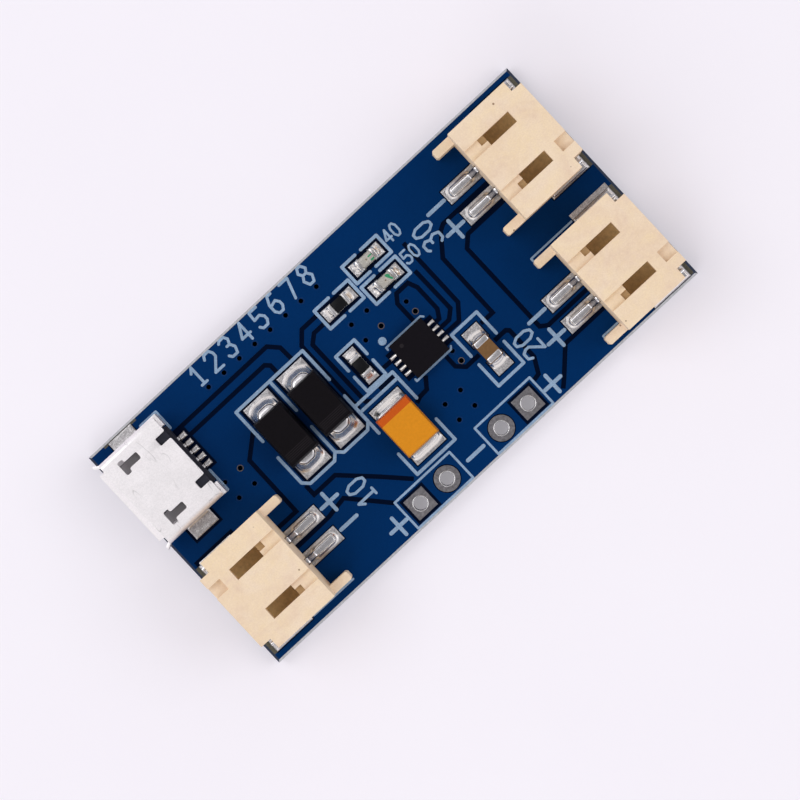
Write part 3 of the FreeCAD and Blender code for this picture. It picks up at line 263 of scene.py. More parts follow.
class Finish:
    """A material under construction."""

    def __init__(self, name, metallic=0.0, **constants):
        self.material = bpy.data.materials.new(name)
        self.material.use_nodes = True
        self.tree = self.material.node_tree
        self.shader = self.tree.nodes["Principled BSDF"]
        self.shader.inputs["Metallic"].default_value = metallic
        for label, value in constants.items():
            self.shader.inputs[label.replace("_", " ")].default_value = value

    def effect(self, group, **values):
        """Places a shared effect with its own values; its scale is in lumps to the millimetre."""
        made = self.tree.nodes.new("ShaderNodeGroup")
        made.node_tree = group
        for label, value in values.items():
            made.inputs[label.capitalize()].default_value = value * PER_MM if label == "scale" else value
        return made.outputs["Value"]

    def maths(self, kind, first, second):
        return maths(self.tree, kind, first, second)

    def ramp(self, value, low, high, to_low=0.0, to_high=1.0):
        return spread(self.tree, value, low, high, to_low, to_high)

    def blend(self, share, under, over):
        """A colour between two, by a share from 0 to 1."""
        made = self.tree.nodes.new("ShaderNodeMix")
        made.data_type = "RGBA"
        self.tree.links.new(share, made.inputs["Factor"])
        for label, colour in (("A", under), ("B", over)):
            socket = [s for s in made.inputs if s.name == label and s.type == "RGBA"][0]
            if isinstance(colour, tuple):
                socket.default_value = colour
            else:
                self.tree.links.new(colour, socket)
        return [s for s in made.outputs if s.type == "RGBA"][0]

    def veil(self, value, strength, under, over):
        """A colour laid over another where an effect shows, at part of its strength."""
        return self.blend(self.maths("MULTIPLY", value, strength), under, over)

    def colour(self, socket):
        self.tree.links.new(socket, self.shader.inputs["Base Color"])

    def roughness(self, value, smooth, rough):
        self.tree.links.new(self.ramp(value, 0, 1, smooth, rough), self.shader.inputs["Roughness"])

    def relief(self, value, height):
        """Bump of a real height in millimetres."""
        bump = self.tree.nodes.new("ShaderNodeBump")
        bump.inputs["Distance"].default_value = height * MM
        self.tree.links.new(value, bump.inputs["Height"])
        self.tree.links.new(bump.outputs["Normal"], self.shader.inputs["Normal"])

    def place(self):
        """The object coordinates as three sockets, in metres."""
        source = self.tree.nodes.new("ShaderNodeTexCoord")
        split = self.tree.nodes.new("ShaderNodeSeparateXYZ")
        self.tree.links.new(source.outputs["Object"], split.inputs["Vector"])
        return split.outputs

    def facing_up(self, low=0.5, high=0.5001):
        """How far the surface faces up: 0 where its normal's height is under low, 1 over high."""
        source = self.tree.nodes.new("ShaderNodeTexCoord")
        split = self.tree.nodes.new("ShaderNodeSeparateXYZ")
        self.tree.links.new(source.outputs["Normal"], split.inputs["Vector"])
        return self.ramp(split.outputs["Z"], low, high)

    def grain(self, scale, detail=2.0):
        """Plain noise on the object coordinates; scale is in lumps to the millimetre."""
        source = self.tree.nodes.new("ShaderNodeTexCoord")
        return noise(self.tree, source.outputs["Object"], scale * PER_MM, detail)


def darker(colour, share):
    return tuple(value * share for value in colour[:3]) + (1,)


def cloudy(name, colour, lumps, depth, smooth, rough, grain, height, metallic=0.0, **constants):
    """A finish with a mottled colour and roughness and a fine grain."""
    made = Finish(name, metallic, **constants)
    cloud = made.effect(mottle, scale=lumps, contrast=0.3)
    made.colour(made.blend(cloud, darker(colour, 1 - depth), colour))
    made.roughness(cloud, smooth, rough)
    made.relief(made.grain(grain), height)
    return made


# %% [markdown]
# ## Blue mask over copper
#
# The board's colour tells its layers: bright blue where mask covers copper, navy where the copper is
# etched away and the mask sinks into the groove, and pale broken laminate at the scored edges. A picture
# could be painted for that, but the solid already has the grooves and scores in its shape, so height and
# distance from the middle pick the colour, and it stays right from every side.

# %% The mask
EDGE_SCORE = 0.2
SCORE_DEPTH = 0.45

mask = Finish("blue_mask", Specular_IOR_Level=0.03)
x, y, z = mask.place()
off_end = mask.maths("SUBTRACT", mask.maths("ABSOLUTE", x, 0),
                 board_high.x - (EDGE_SCORE - 0.02) * MM)
off_side = mask.maths("SUBTRACT", mask.maths("ABSOLUTE", y, 0),
                  board_high.y - (EDGE_SCORE - 0.02) * MM)
off_middle = mask.maths("MAXIMUM", off_end, off_side)
at_edge = mask.maths("GREATER_THAN", off_middle, 0.0)
cloud = mask.effect(mottle, scale=0.35, contrast=0.35)
fine = mask.effect(mottle, scale=9, contrast=0.25)
pour = mask.blend(cloud, darker(POUR_BLUE, 0.86), POUR_BLUE)
pour = mask.veil(fine, 0.25, pour, darker(POUR_BLUE, 1.5))
raised = mask.ramp(z, board_high.z - 0.03 * MM, board_high.z - 0.012 * MM)
etched = mask.maths("LESS_THAN", raised, 0.5)
dark_side = mask.maths("MULTIPLY", etched, mask.maths("GREATER_THAN", z, board_high.z - 0.1 * MM))
face = mask.blend(dark_side, pour, GROOVE_NAVY)
web = mask.maths("MULTIPLY", mask.maths("GREATER_THAN", z, board_low.z + SCORE_DEPTH * MM),
             mask.maths("LESS_THAN", z, board_high.z - SCORE_DEPTH * MM))
rough_break = mask.effect(mottle, scale=5, contrast=0.15)
broken = mask.blend(rough_break, darker(LAMINATE, 0.7), EDGE_GREY)
score = mask.blend(rough_break, darker(EDGE_GREY, 0.75), EDGE_GREY)
at_cut_end = mask.maths("GREATER_THAN", off_end, off_side)
cut_end = mask.blend(rough_break, darker(CUT_END, 0.7), CUT_END)
rim = mask.blend(at_cut_end, mask.blend(web, score, broken), cut_end)
mask.colour(mask.blend(at_edge, face, rim))
mask.roughness(mask.maths("MAXIMUM", at_edge, mask.maths("MULTIPLY", fine, 0.3)), 0.32, 0.8)
mask.relief(mask.grain(6, 3.0), 0.004)

# %% [markdown]
# ## Moulded, plated and printed finishes
#
# The sockets are natural nylon, the dark parts are filled epoxy, and the metal is tin, which is bright
# where it melted and dull where it was only levelled. Metals get nearly all their look from what they
# reflect, so their colour is pale and their roughness does the work.

# %% Plastics
CAVITY_FLOOR = 1.0
STEP_LEVEL = 4.88
BAND_LENGTH = 0.62

nylon = Finish("cream_nylon", Specular_IOR_Level=0.25)
flow = nylon.effect(mottle, scale=0.3, contrast=0.12, swirl=1.8)
speckle = nylon.effect(mottle, scale=4, contrast=0.2)
patches = nylon.effect(mottle, scale=0.5, contrast=0.15, swirl=0.8)
fine = nylon.effect(mottle, scale=9, contrast=0.15)
tints = nylon.blend(flow, NYLON_PINK, NYLON)
tints = nylon.veil(patches, 0.75, tints, NYLON_CREAM)
tints = nylon.veil(speckle, 0.5, tints, darker(NYLON, 1.08))
tints = nylon.veil(fine, 0.4, tints, darker(NYLON_PINK, 0.94))
tints = nylon.blend(nylon.effect(specks, scale=0.6, size=0.04), tints, tone(150, 122, 96))
up_facing = nylon.facing_up()
x, y, z = nylon.place()
# Painted shade: nylon that faces up below the cavity floor's height is tinted dark brown, as the shade inside
# the housing.
low_down = nylon.maths("LESS_THAN", z, board_high.z + CAVITY_FLOOR * MM)
shaded_floor = nylon.blend(speckle, darker(NYLON_SHADED_FLOOR, 0.8), darker(NYLON_SHADED_FLOOR, 1.1))
tints = nylon.veil(up_facing, low_down, tints, shaded_floor)
# Painted shade: the up-facing floor of the small step pocket near the housing's top is tinted darker.
off_step = nylon.maths("ABSOLUTE", nylon.maths("SUBTRACT", z, board_high.z + STEP_LEVEL * MM), 0)
in_shaded_step = nylon.maths("LESS_THAN", off_step, 0.06 * MM)
nylon.colour(nylon.veil(up_facing, in_shaded_step, tints, NYLON_STEP_SHADE))
nylon.roughness(flow, 0.5, 0.62)
nylon.relief(nylon.grain(2.2, 4.0), 0.008)

dark_moulding = cloudy("black_epoxy", tone(17, 14, 18), 4, 0.3, 0.42, 0.6, 14, 0.004, Specular_IOR_Level=0.06)
package_moulding = cloudy("black_package", tone(19, 16, 22), 4, 0.25, 0.5, 0.62, 16, 0.003,
                          Specular_IOR_Level=0.06)
port_moulding = cloudy("black_insert", tone(45, 45, 55), 3, 0.3, 0.45, 0.6, 10, 0.003,
                       Specular_IOR_Level=0.15)

orange_moulding = Finish("orange_epoxy", Specular_IOR_Level=0.12)
case = whole_box("tantalum_capacitor_case")
x, y, z = orange_moulding.place()
in_band = orange_moulding.maths("GREATER_THAN", y, (case.y1 - BAND_LENGTH) * MM)
fine = orange_moulding.effect(mottle, scale=6, contrast=0.3)
body = orange_moulding.blend(fine, darker(ORANGE, 0.86), ORANGE)
stripe = orange_moulding.blend(fine, darker(BAND_ORANGE, 0.85), BAND_ORANGE)
orange_moulding.colour(orange_moulding.blend(in_band, body, stripe))
orange_moulding.roughness(fine, 0.4, 0.55)
orange_moulding.relief(orange_moulding.grain(9, 3.0), 0.003)

brown_ceramic = cloudy("brown_ceramic", tone(124, 92, 58), 5, 0.25, 0.35, 0.5, 12, 0.002,
                       Specular_IOR_Level=0.15)
white_ceramic = cloudy("white_ceramic", tone(232, 230, 222), 5, 0.1, 0.4, 0.5, 12, 0.002)
dark_glaze = cloudy("dark_glaze", tone(22, 22, 25), 6, 0.3, 0.3, 0.45, 8, 0.002, Specular_IOR_Level=0.1)
lamp_white = cloudy("lamp_white", tone(226, 220, 208), 6, 0.1, 0.45, 0.6, 12, 0.002)
bare_board = cloudy("bare_laminate", LAMINATE, 7, 0.45, 0.5, 0.7, 8, 0.006, Specular_IOR_Level=0.1)
faint_ink = cloudy("faint_mark", tone(38, 34, 38), 8, 0.3, 0.55, 0.7, 10, 0.002, Specular_IOR_Level=0.1)
green_dye = cloudy("green_mark", tone(58, 150, 104), 8, 0.2, 0.5, 0.6, 10, 0.001, Specular_IOR_Level=0.1)

ink = Finish("pale_ink", Specular_IOR_Level=0.1)
grains = ink.effect(mottle, scale=11, contrast=0.16)
patches = ink.effect(mottle, scale=1.2, contrast=0.25)
thin_ink = ink.veil(grains, patches, darker(INK, 0.6), INK)
ink.colour(thin_ink)
ink.roughness(grains, 0.55, 0.7)
ink.relief(ink.grain(12), 0.003)

# %% Metals
INNER_HALF = 2.7
INNER_FLOOR = 0.6
MELTED_FROM = 0.055
MELTED_TO = 0.13
WALL = 0.35
SLOPE = 0.8
SOLDER_WALL = 0.15
SOLDER_SLOPE = 0.5
# Painted shade for the steep walls of tin and solder.
STEEP_SHADE = tone(128, 119, 112)

steel = Finish("pressed_steel", 1.0)
cloud = steel.effect(mottle, scale=0.9, contrast=0.3)
dust = steel.effect(mottle, scale=7, contrast=0.12)
fine = steel.effect(mottle, scale=14, contrast=0.15)
marks = steel.effect(scratches, scale=0.9, width=0.011)
shine = steel.blend(cloud, darker(STEEL, 0.93), STEEL)
shine = steel.veil(dust, 0.12, shine, darker(STEEL, 0.55))
shine = steel.veil(fine, 0.16, shine, darker(STEEL, 0.6))
shine = steel.veil(marks, 0.5, shine, darker(STEEL, 0.35))
x, y, z = steel.place()
port = whole_box("power_port_shell")
# Painted shade: the up-facing floor inside the port shell, seen through its holes, is painted far darker.
off_side = steel.maths("ABSOLUTE", steel.maths("SUBTRACT", y, port.y * MM), 0)
inside = steel.maths("LESS_THAN", off_side, INNER_HALF * MM)
low_down = steel.maths("LESS_THAN", z, board_high.z + INNER_FLOOR * MM)
inside = steel.maths("MULTIPLY", steel.maths("MULTIPLY", inside, low_down), steel.facing_up())
steel.colour(steel.blend(inside, shine, darker(STEEL, 0.42)))
steel.roughness(cloud, 0.45, 0.56)
steel.relief(steel.grain(7, 3.0), 0.002)


def bright_tin(name, lumps, smooth, rough):
    """Plated tin, bright on top, with painted shade darkening its steep walls."""
    made = Finish(name, 1.0)
    cloud = made.effect(mottle, scale=lumps, contrast=0.3)
    shine = made.blend(cloud, darker(TIN, 0.93), darker(TIN, 1.1))
    made.colour(made.blend(made.facing_up(WALL, SLOPE), STEEP_SHADE, shine))
    made.roughness(cloud, smooth, rough)
    made.relief(made.grain(1.6), 0.0012)
    return made


pin_tin = bright_tin("bright_tin", 2.5, 0.2, 0.3)
lead_tin = bright_tin("lead_tin", 1.6, 0.22, 0.34)
levelled_tin = cloudy("levelled_tin", tone(150, 147, 151), 5, 0.55, 0.36, 0.5, 7, 0.01, metallic=1.0)
gilt = cloudy("gold_flash", tone(232, 196, 110), 4, 0.15, 0.25, 0.35, 8, 0.001, metallic=1.0)
bare_copper = cloudy("bare_copper", tone(104, 88, 66), 6, 0.3, 0.3, 0.45, 8, 0.002)

solder = Finish("melted_solder", 1.0)
x, y, z = solder.place()
climbed = solder.ramp(z, board_high.z + MELTED_FROM * MM, board_high.z + MELTED_TO * MM)
cloud = solder.effect(mottle, scale=3.5, contrast=0.22)
fine = solder.effect(mottle, scale=11, contrast=0.12)
flat_tin = solder.blend(cloud, tone(174, 170, 172), tone(232, 230, 231))
flat_tin = solder.veil(fine, 0.55, flat_tin, tone(112, 110, 112))
# Climbed solder is pale, with painted shade darkening its steep walls.
bright = solder.blend(solder.facing_up(SOLDER_WALL, SOLDER_SLOPE), STEEP_SHADE, tone(246, 241, 236))
solder.colour(solder.blend(climbed, flat_tin, bright))
dull = solder.maths("SUBTRACT", 1.0, climbed)
solder.roughness(dull, 0.26, 0.42)
solder.relief(solder.maths("MULTIPLY", dull, solder.grain(8, 3.0)), 0.013)

# %% Clear resin
resin = Finish("clear_resin", Transmission_Weight=0.4, IOR=1.45, Specular_IOR_Level=0.3)
cloud = resin.effect(mottle, scale=4, contrast=0.3)
resin.colour(resin.blend(cloud, tone(206, 200, 190), tone(228, 224, 217)))
resin.roughness(cloud, 0.2, 0.32)
resin.relief(resin.grain(5), 0.002)
print("finishes:", len(bpy.data.materials))

# %% [markdown]
# ## Softening the edges
#
# No real edge is a knife edge: a moulded one has a small radius, and a formed one a larger one. That
# radius is what catches the light. Each shown solid is copied, its loose corners are welded, its flat
# faces are merged, and a bevel with weighted normals rounds the edges that are left. The copy then
# stands in for the solid, in the same place.

# %% The softened copy
WELD = 1e-7
FLAT_ANGLE = math.radians(1.0)
SHARP_ANGLE = math.radians(28)
CORNER_STEPS = 4


def to_mesh(shape, name):
    """Turns a bmesh into a mesh and lets go of the bmesh."""
    mesh = bpy.data.meshes.new(name)
    shape.to_mesh(mesh)
    shape.free()
    return mesh


def add_piece(name, mesh, finish, slot, *stands_for):
    """Puts a mesh in the scene as a piece of the board."""
    made = bpy.data.objects.new(name, mesh)
    bpy.context.scene.collection.objects.link(made)
    mesh.materials.clear()
    mesh.materials.append(finish.material)
    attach(made, "root")
    if stands_for:
        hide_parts(*stands_for)
    return made


def plain_copy(node, is_corner=None, corner=0.0):
    """The welded mesh of a CAD node with its flat faces merged, and the corners that a test picks rounded."""
    shape = bmesh.new()
    shape.from_mesh(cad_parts[node].data)
    bmesh.ops.remove_doubles(shape, verts=shape.verts, dist=WELD)
    bmesh.ops.dissolve_limit(shape, angle_limit=FLAT_ANGLE, verts=shape.verts, edges=shape.edges)
    if is_corner:
        chosen = [edge for edge in shape.edges if is_corner(*[end.co / MM for end in edge.verts])]
        bmesh.ops.bevel(shape, geom=chosen, offset=corner * MM, segments=CORNER_STEPS, profile=0.5,
                        affect="EDGES")
    mesh = to_mesh(shape, f"{node}_soft")
    for label in ("custom_normal", "sharp_edge", "sharp_face"):
        if label in mesh.attributes:
            mesh.attributes.remove(mesh.attributes[label])
    mesh.polygons.foreach_set("use_smooth", [True] * len(mesh.polygons))
    return mesh


def soften(node, radius, finish, slot, rounds=2, **corners):
    """A copy of a CAD node with rounded edges, which stands for it."""
    made = add_piece(f"{node}_soft", plain_copy(node, **corners), finish, slot, node)
    bevel = made.modifiers.new("edge_radius", "BEVEL")
    bevel.limit_method = "ANGLE"
    bevel.angle_limit = SHARP_ANGLE
    bevel.width = radius * MM
    bevel.segments = rounds
    weigh = made.modifiers.new("flat_faces_first", "WEIGHTED_NORMAL")
    weigh.mode = "FACE_AREA"
    weigh.weight = 100
    return made


def upright(low, high):
    """A test for the upright edges that lie between two heights above the board, in millimetres."""
    def test(one, two):
        level = math.hypot(one.x - two.x, one.y - two.y) < 0.001
        return level and min(one.z, two.z) > board_top + low and max(one.z, two.z) < board_top + high
    return test


SOCKETS = ("solar_socket", "battery_socket", "output_socket")
DIODES = ("solar_diode", "port_diode")
RESISTORS = ("current_resistor", "lamp_resistor")
LAMPS = ("ready_lamp", "charging_lamp")
HEADERS = ("solar_header_pads", "battery_header_pads")

SHEET_FROM = 2.15
SHEET_TO = 2.5

for name in SOCKETS:
    soften(f"{name}_housing", 0.06, nylon, "socket_nylon", rounds=3)
    soften(f"{name}_positive_pin", 0.12, pin_tin, "pin_tin", rounds=4)
    soften(f"{name}_negative_pin", 0.12, pin_tin, "pin_tin", rounds=4)
    soften(f"{name}_mounting_tabs", 0.05, pin_tin, "pin_tin")
soften("power_port_shell", 0.05, steel, "shell_steel", rounds=3,
       is_corner=upright(SHEET_FROM, SHEET_TO), corner=0.11)
soften("power_port_insert", 0.04, port_moulding, "port_plastic")
soften("power_port_contacts", 0.03, pin_tin, "contact_gilt")
for name in DIODES:
    soften(f"{name}_case", 0.06, dark_moulding, "black_moulding")
soften("tantalum_capacitor_case", 0.07, orange_moulding, "orange_moulding")
soften("tantalum_capacitor_anode_lead", 0.09, lead_tin, "lead_tin", rounds=4)
soften("tantalum_capacitor_cathode_lead", 0.09, lead_tin, "lead_tin", rounds=4)
soften("ceramic_capacitor_block", 0.04, brown_ceramic, "brown_ceramic")
for name in RESISTORS:
    soften(f"{name}_substrate", 0.02, white_ceramic, "white_ceramic")
    soften(f"{name}_coat", 0.015, dark_glaze, "dark_glaze")
for name in LAMPS:
    soften(f"{name}_base", 0.02, lamp_white, "lamp_base")
    soften(f"{name}_terminals", 0.03, lead_tin, "contact_gilt")
    soften(f"{name}_lens", 0.05, resin, "clear_resin", rounds=3)
soften("controller_package", 0.03, package_moulding, "black_moulding")
soften("controller_leads", 0.02, lead_tin, "lead_tin")
for name in HEADERS:
    soften(name, 0.02, levelled_tin, "tinned_copper")
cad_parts["circuit_board"].data.materials.clear()
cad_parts["circuit_board"].data.materials.append(mask.material)
for name in LAMPS:
    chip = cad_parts[f"{name}_chip"]
    chip.data.materials.clear()
    chip.data.materials.append(gilt.material)

# %% [markdown]
# ## Dipped end caps
#
# The end of a chip part is dipped in metal, so its cap is as round as a pillow. The cap's solid is a thin
# cup, too thin for a wide bevel. A box of the same size, rounded all round, shows the same outside.

# %% Pillow caps
PILLOW_STEPS = 6


def pillow_caps(node, radius):
    """A rounded box for every end cap of a CAD node."""
    shape = bmesh.new()
    for box in loose_boxes(node):
        size = Vector((box.x1 - box.x0, box.y1 - box.y0, box.z1 - box.z0)) * MM
        middle = Vector((box.x, box.y, (box.z0 + box.z1) / 2)) * MM
        spot = Matrix.Translation(middle) @ Matrix.Diagonal((*size, 1))
        bmesh.ops.create_cube(shape, size=1, matrix=spot)
    bmesh.ops.bevel(shape, geom=shape.edges[:], offset=radius * MM, segments=PILLOW_STEPS, profile=0.5,
                    affect="EDGES")
    for face in shape.faces:
        face.smooth = True
    return add_piece(f"{node}_pillow", to_mesh(shape, f"{node}_pillow"), lead_tin, "lead_tin", node)


for node, radius in (("ceramic_capacitor_end_caps", 0.17), ("current_resistor_end_caps", 0.09),
                     ("lamp_resistor_end_caps", 0.09)):
    pillow_caps(node, radius)

# %% [markdown]
# ## Leads with round ends
#
# A diode's lead is a strap, bent down over the end of the case, and its end is cut to a half round. Bevels
# can't round a thin strap that far, so the strap is swept instead: its side view is repeated across its
# width, and each copy reaches out a little less as it nears the strap's sides.

# %% Swept straps
STRAP = 0.2
STRAP_CORNER = 0.5
BEND = 0.32
BEND_STEPS = 6
SLICES = 24
CASE_SLOT = 0.2
CASE_GAP = 0.01


def strap_profile(tip, root, back, top):
    """The strap's side view: distance out from the case's end, and height above the board."""
    inner = max(tip - STRAP, CASE_GAP)
    bend = [(tip - BEND + BEND * math.sin(a), top - BEND + BEND * math.cos(a))
            for a in (math.pi / 2 * k / BEND_STEPS for k in range(BEND_STEPS + 1))]
    return [(root, top)] + bend + [(tip, 0.0), (back, 0.0), (back, STRAP), (inner, STRAP),
                                   (inner, top - STRAP), (root, top - STRAP)]


def swept_lead(node, case):
    """A diode lead with a rounded end, which stands for the CAD strap."""
    box = whole_box(node)
    outward = 1 if box.y > case.y else -1
    case_end = case.y1 if outward > 0 else case.y0
    overhang = (box.y1 - case_end) if outward > 0 else (case_end - box.y0)
    back = overhang - (box.y1 - box.y0)
    half = (box.x1 - box.x0) / 2
    shape = bmesh.new()
    rings = []
    for k in range(SLICES + 1):
        across = -half * math.cos(math.pi * k / SLICES)
        past = max(0.0, abs(across) - half + STRAP_CORNER)
        tip = overhang - STRAP_CORNER + math.sqrt(STRAP_CORNER ** 2 - past ** 2)
        rings.append([shape.verts.new(Vector((box.x + across, case_end + outward * out, box.z0 + up)) * MM)
                      for out, up in strap_profile(tip, -CASE_SLOT, back, box.z1 - box.z0)])
    for one, two in zip(rings, rings[1:]):
        for k in range(len(one)):
            after = (k + 1) % len(one)
            shape.faces.new((one[k], one[after], two[after], two[k]))
    shape.faces.new(rings[0])
    shape.faces.new(rings[-1])
    bmesh.ops.recalc_face_normals(shape, faces=shape.faces)
    for face in shape.faces:
        face.smooth = True
    mesh = to_mesh(shape, f"{node}_swept")
    mesh.set_sharp_from_angle(angle=SHARP_ANGLE)
    return add_piece(f"{node}_swept", mesh, lead_tin, "lead_tin", node)


for name in DIODES:
    for end in ("anode", "cathode"):
        swept_lead(f"{name}_{end}_lead", whole_box(f"{name}_case"))

# %% [markdown]
# ## Melted solder
#
# Solder wets the whole land in a thin film, climbs what stands on it in a hollow curve and thins out at
# the land's edge. A fluid simulation would give that shape, but the curve is well known: height falls off
# with the distance from the metal that it climbs. So each joint is a small height field over its land,
# closed underneath, with a little ripple from cooling.

# %% One joint as a height field
CELL = 0.036
FILM = 0.045
FILM_ROUNDING = 0.1
UNDER_PART = 0.006
HIDDEN = 0.03
RIPPLE = 0.005
RIPPLE_WAVE = 34


def outside(box, x, y, corner):
    """How far points lie outside a box with round corners, seen from above; negative inside."""
    over_x = np.abs(x - box.x) - (box.x1 - box.x0) / 2 + corner
    over_y = np.abs(y - box.y) - (box.y1 - box.y0) / 2 + corner
    beyond = np.hypot(np.maximum(over_x, 0), np.maximum(over_y, 0))
    return beyond + np.minimum(np.maximum(over_x, over_y), 0) - corner


def wander(x, y, seed, size):
    """A smooth random field between about -1 and 1."""
    chance = np.random.default_rng(seed)
    total = np.zeros_like(x)
    for _ in range(5):
        angle = chance.uniform(0, math.tau)
        wave = chance.uniform(0.7, 1.6) * math.tau / size
        phase = chance.uniform(0, math.tau)
        total += np.sin((x * math.cos(angle) + y * math.sin(angle)) * wave + phase)
    return total / 3


class Joint:
    """How solder lies on one land: the metal that it climbs, how high and how far, and how hollow."""

    def __init__(self, land, contact, rise, reach, hollow, corner=0.0, spread_corner=None, lump=(0.007, 0.9)):
        self.land, self.contact = land, contact
        self.rise, self.reach, self.hollow = rise, reach, hollow
        self.corner = corner
        self.lump = lump
        self.spread_corner = corner if spread_corner is None else spread_corner

    def heights(self, x, y, seed):
        """Height of the solder above the board at points of its land."""
        land = self.land
        to_edge = np.minimum(np.minimum(x - land.x0, land.x1 - x), np.minimum(y - land.y0, land.y1 - y))
        near_edge = np.clip(to_edge / FILM_ROUNDING, 0, 1)
        film = FILM * np.sqrt(1 - (1 - near_edge) ** 2)
        off = np.maximum(outside(self.contact, x, y, self.spread_corner), 0)
        fillet = self.rise * np.clip(1 - off / self.reach, 0, 1) ** self.hollow
        ripple = RIPPLE * np.sin(off * RIPPLE_WAVE) * np.exp(-off * 1.5)
        lump_height, lump_size = self.lump
        lumps = lump_height * wander(x, y, seed, lump_size)
        height = film + (fillet + ripple + lumps) * np.clip(to_edge / (2 * FILM_ROUNDING), 0, 1)
        hidden = outside(self.contact, x, y, self.corner) < -HIDDEN
        return np.where(hidden, UNDER_PART, np.maximum(height, UNDER_PART))


def joint_mesh(shape, joint, seed):
    """Adds one closed joint to a bmesh."""
    land = joint.land
    xs, ys = [np.linspace(low, high, max(4, round((high - low) / CELL)))
              for low, high in ((land.x0, land.x1), (land.y0, land.y1))]
    across, along = np.meshgrid(xs, ys, indexing="ij")
    heights = joint.heights(across, along, seed)
    tops = [[shape.verts.new(Vector((x, y, board_top + heights[i, j])) * MM) for j, y in enumerate(ys)]
            for i, x in enumerate(xs)]
    for i in range(len(xs) - 1):
        for j in range(len(ys) - 1):
            shape.faces.new((tops[i][j], tops[i + 1][j], tops[i + 1][j + 1], tops[i][j + 1])).smooth = True
    ring = [row[0] for row in tops] + tops[-1][1:] + [row[-1] for row in tops[-2::-1]] + tops[0][-2:0:-1]
    foot = [shape.verts.new((corner.co.x, corner.co.y, land.z0 * MM)) for corner in ring]
    for k, corner in enumerate(ring):
        after = (k + 1) % len(ring)
        shape.faces.new((corner, foot[k], foot[after], ring[after]))
    shape.faces.new(list(reversed(foot)))


def solder_piece(node, joints):
    """All joints of a CAD node as one piece."""
    shape = bmesh.new()
    for count, joint in enumerate(joints):
        joint_mesh(shape, joint, hash_of(node) + count)
    return add_piece(f"{node}_melted", to_mesh(shape, f"{node}_melted"), solder, "solder", node)


def hash_of(name):
    """A fixed number for a name, so that every joint looks different and each run alike."""
    return sum((place + 1) * ord(letter) for place, letter in enumerate(name))


def nearest(box, choices):
    return min(choices, key=lambda other: math.hypot(other.x - box.x, other.y - box.y))


# %% Joints of the chip parts
for name in DIODES:
    leads = [whole_box(f"{name}_anode_lead"), whole_box(f"{name}_cathode_lead")]
    solder_piece(f"{name}_solder_joints", [
        Joint(land, nearest(land, leads), rise=0.72, reach=0.66, hollow=1.5, corner=STRAP_CORNER)
        for land in loose_boxes(f"{name}_solder_joints")])
leads = [whole_box("tantalum_capacitor_anode_lead"), whole_box("tantalum_capacitor_cathode_lead")]
solder_piece("tantalum_capacitor_solder_joints", [
    Joint(land, nearest(land, leads), rise=0.46, reach=0.54, hollow=1.25, spread_corner=0.42)
    for land in loose_boxes("tantalum_capacitor_solder_joints")])
for name, rise, reach, spread_corner in (("ceramic_capacitor", 0.55, 0.6, 0.6),
                                         ("current_resistor", 0.3, 0.42, 0.36),
                                         ("lamp_resistor", 0.3, 0.42, 0.36)):
    caps = loose_boxes(f"{name}_end_caps")
    solder_piece(f"{name}_solder_joints", [
        Joint(land, nearest(land, caps), rise, reach, hollow=1.3, spread_corner=spread_corner)
        for land in loose_boxes(f"{name}_solder_joints")])
for name in LAMPS:
    ends = loose_boxes(f"{name}_terminals")
    solder_piece(f"{name}_solder_joints", [
        Joint(land, nearest(land, ends), rise=0.3, reach=0.42, hollow=1.6, spread_corner=0.2,
              lump=(0.028, 0.34))
        for land in loose_boxes(f"{name}_solder_joints")])
package = whole_box("controller_package")
HEAT_PAD = 1.0
edge_lands = [b for b in loose_boxes("controller_solder_joints") if b.x1 - b.x0 < HEAT_PAD]
solder_piece("controller_solder_joints",
             [Joint(land, package, rise=0.2, reach=0.6, hollow=1.1) for land in edge_lands])

# %% Joints of the sockets and the port
FOOT_LENGTH = 1.75
TUCKED = 0.05
NEAR_TAB = 0.5


def socket_lands(name):
    """The lands of a socket. The solar socket's upper land is trimmed to end under its housing."""
    lands = loose_boxes(f"{name}_solder_joints")
    if name == "solar_socket":
        upper = max(lands, key=lambda land: land.y1)
        upper.y1 = whole_box(f"{name}_housing").y1 - TUCKED
        upper.y = (upper.y0 + upper.y1) / 2
    return lands


for name in SOCKETS:
    feet = []
    for pin in (whole_box(f"{name}_positive_pin"), whole_box(f"{name}_negative_pin")):
        tip, inward = (pin.x0, -1) if pin.x > 0 else (pin.x1, 1)
        feet.append(Box([(tip, pin.y0, 0), (tip - inward * FOOT_LENGTH, pin.y1, 0)]))
    tabs = loose_boxes(f"{name}_mounting_tabs")
    joints = []
    for land in socket_lands(name):
        on_tab = min(abs(land.x - tab.x) for tab in tabs) < NEAR_TAB
        if on_tab:
            joints.append(Joint(land, nearest(land, tabs), rise=0.2, reach=0.26, hollow=1.4))
        else:
            joints.append(Joint(land, nearest(land, feet), rise=0.3, reach=0.33, hollow=1.5,
                                corner=0.1, spread_corner=0.24))
    solder_piece(f"{name}_solder_joints", joints)

FLARE = 0.22
LONGEST_TAIL_LAND = 1.0
shell = whole_box("power_port_shell")
shell_body = Box([(shell.x0, shell.y0 + FLARE, 0), (shell.x1, shell.y1 - FLARE, 0)])
tails = loose_boxes("power_port_contacts")
joints = []
for land in loose_boxes("power_port_solder_joints"):
    if land.x1 - land.x0 > LONGEST_TAIL_LAND:
        joints.append(Joint(land, shell_body, rise=0.1, reach=0.15, hollow=1.4))
    else:
        joints.append(Joint(land, nearest(land, tails), rise=0.14, reach=0.12, hollow=1.2))
solder_piece("power_port_solder_joints", joints)

